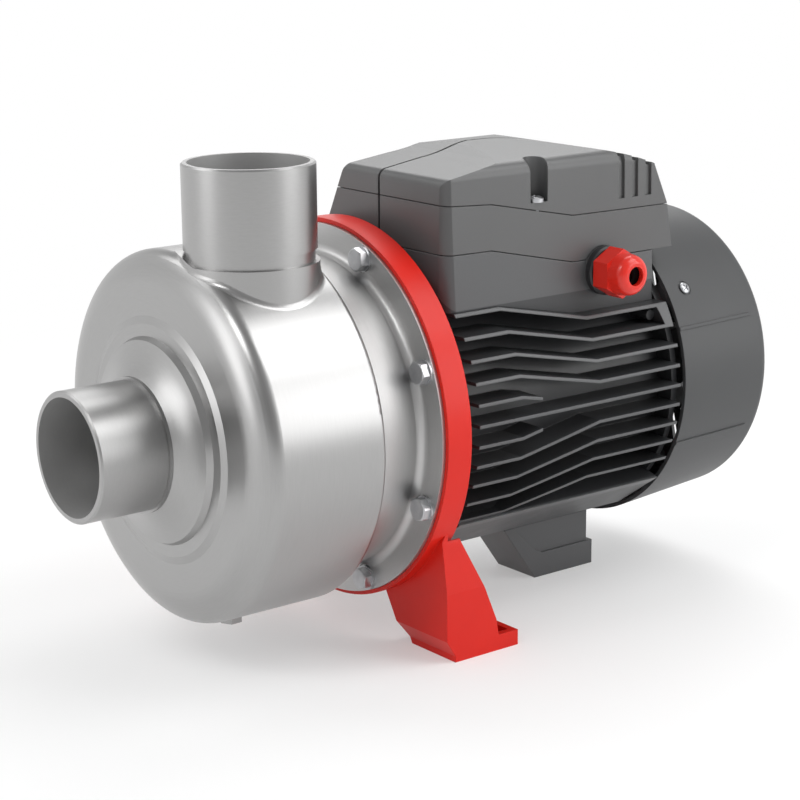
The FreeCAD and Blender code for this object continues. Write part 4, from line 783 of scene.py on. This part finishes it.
# %% [markdown]
# ## The floor
#
# The floor is the background too. To the camera and in reflections it glows white, wholly so
# far out and by about a third next to the pump. The rest is its own shaded colour there, which
# keeps the pump's shadow. A floor that only glows would leave the pump hanging in the air.

# %% Floor
FLOOR_RADIUS, FLOOR_SIDES = 30.0, 64
PAPER, WHITE = colour(0.93, 0.93, 0.93), colour(1.0, 1.0, 1.0)

floor_shape = bmesh.new()
bmesh.ops.create_circle(floor_shape, cap_ends=True, radius=FLOOR_RADIUS,
                        segments=FLOOR_SIDES)
floor = bpy.data.objects.new("floor", as_mesh("floor", floor_shape))
bpy.context.scene.collection.objects.link(floor)

paper = Finish("studio_floor")
shaded = paper.node("ShaderNodeBsdfDiffuse", {}, {"Color": PAPER})
glow = paper.node("ShaderNodeEmission", {}, {"Color": WHITE, "Strength": 1.0})
seen = (paper.node("ShaderNodeLightPath", output="Is Camera Ray")
        + paper.node("ShaderNodeLightPath", output="Is Glossy Ray")
        + paper.node("ShaderNodeLightPath", output="Is Transmission Ray"))
distance = paper.node("ShaderNodeVectorMath", {"operation": "LENGTH"}, {0: paper.place},
                      output="Value")
glowing = GLOW_NEAR + (GLOW_FAR - GLOW_NEAR) * distance.step(GLOW_FROM, GLOW_TO)
dress(floor, paper.closed(paper.node("ShaderNodeMixShader", {},
                                     {0: glowing * seen, 1: shaded, 2: glow})))
print("floor:", 2 * FLOOR_RADIUS, "m across")

# %% [markdown]
# ## The sky
#
# The sky is pale at the horizon, and darker straight above and on the side of the camera,
# which gives the steel its darker bands. A photograph of a studio could be wrapped round the
# scene instead, but two soft steps are quicker to tune. Where the camera looks past the
# floor's far edge it sees plain white, whatever the sky's level is as a light.

# %% Sky
world = bpy.data.worlds.new("studio")
bpy.context.scene.world = world
world.use_nodes = True

CAMERA_SIDE = (-0.61, -0.79, 0.0)
OVERHEAD_FROM, OVERHEAD_TO = 0.15, 0.9
BEHIND_FROM, BEHIND_TO = 0.35, 0.95

sky = Tree(world.node_tree)
direction = sky.node("ShaderNodeTexCoord", output="Generated")
height = sky.node("ShaderNodeSeparateXYZ", {}, {0: direction}, output="Z")
towards_camera = sky.node("ShaderNodeVectorMath", {"operation": "DOT_PRODUCT"},
                          {0: direction, 1: CAMERA_SIDE}, output="Value")
overhead = height.step(OVERHEAD_FROM, OVERHEAD_TO)
level = overhead * SKY_HIGH + (1.0 - overhead) * SKY_LOW
behind_camera = towards_camera.step(BEHIND_FROM, BEHIND_TO)
level = behind_camera * SKY_CAMERA + (1.0 - behind_camera) * level
straight = sky.node("ShaderNodeLightPath", output="Is Camera Ray")
level = straight + (1.0 - straight) * level
light = sky.node("ShaderNodeBackground", {}, {"Color": WHITE, "Strength": level})
sky.node("ShaderNodeOutputWorld", {}, {"Surface": light})
print("sky nodes:", len(sky.links.nodes))

# %% [markdown]
# ## The lamps
#
# A soft box is a rectangle of light, so its reflection on round steel is a soft band. A point
# lamp would leave only a small hot spot there. Every box faces the middle of the pump, and the
# camera doesn't see it.

# %% Lamps
def soft_box(name, place, aim, width, tall, power):
    """A rectangular lamp that faces a point."""
    lamp = bpy.data.lights.new(name, "AREA")
    lamp.shape = "RECTANGLE"
    lamp.size = width
    lamp.size_y = tall
    lamp.energy = power
    box = bpy.data.objects.new(name, lamp)
    facing = Vector(aim) - Vector(place)
    turn = facing.to_track_quat("-Z", "Y").to_matrix().to_4x4()
    box.matrix_world = Matrix.Translation(place) @ turn
    box.visible_camera = False
    bpy.context.scene.collection.objects.link(box)


PUMP_MIDDLE = (0.0, 0.0, 0.11)
for name, place, width, tall, power in SOFT_BOXES:
    soft_box(name, place, PUMP_MIDDLE, width, tall, power)
bpy.context.scene.view_settings.view_transform = "Standard"
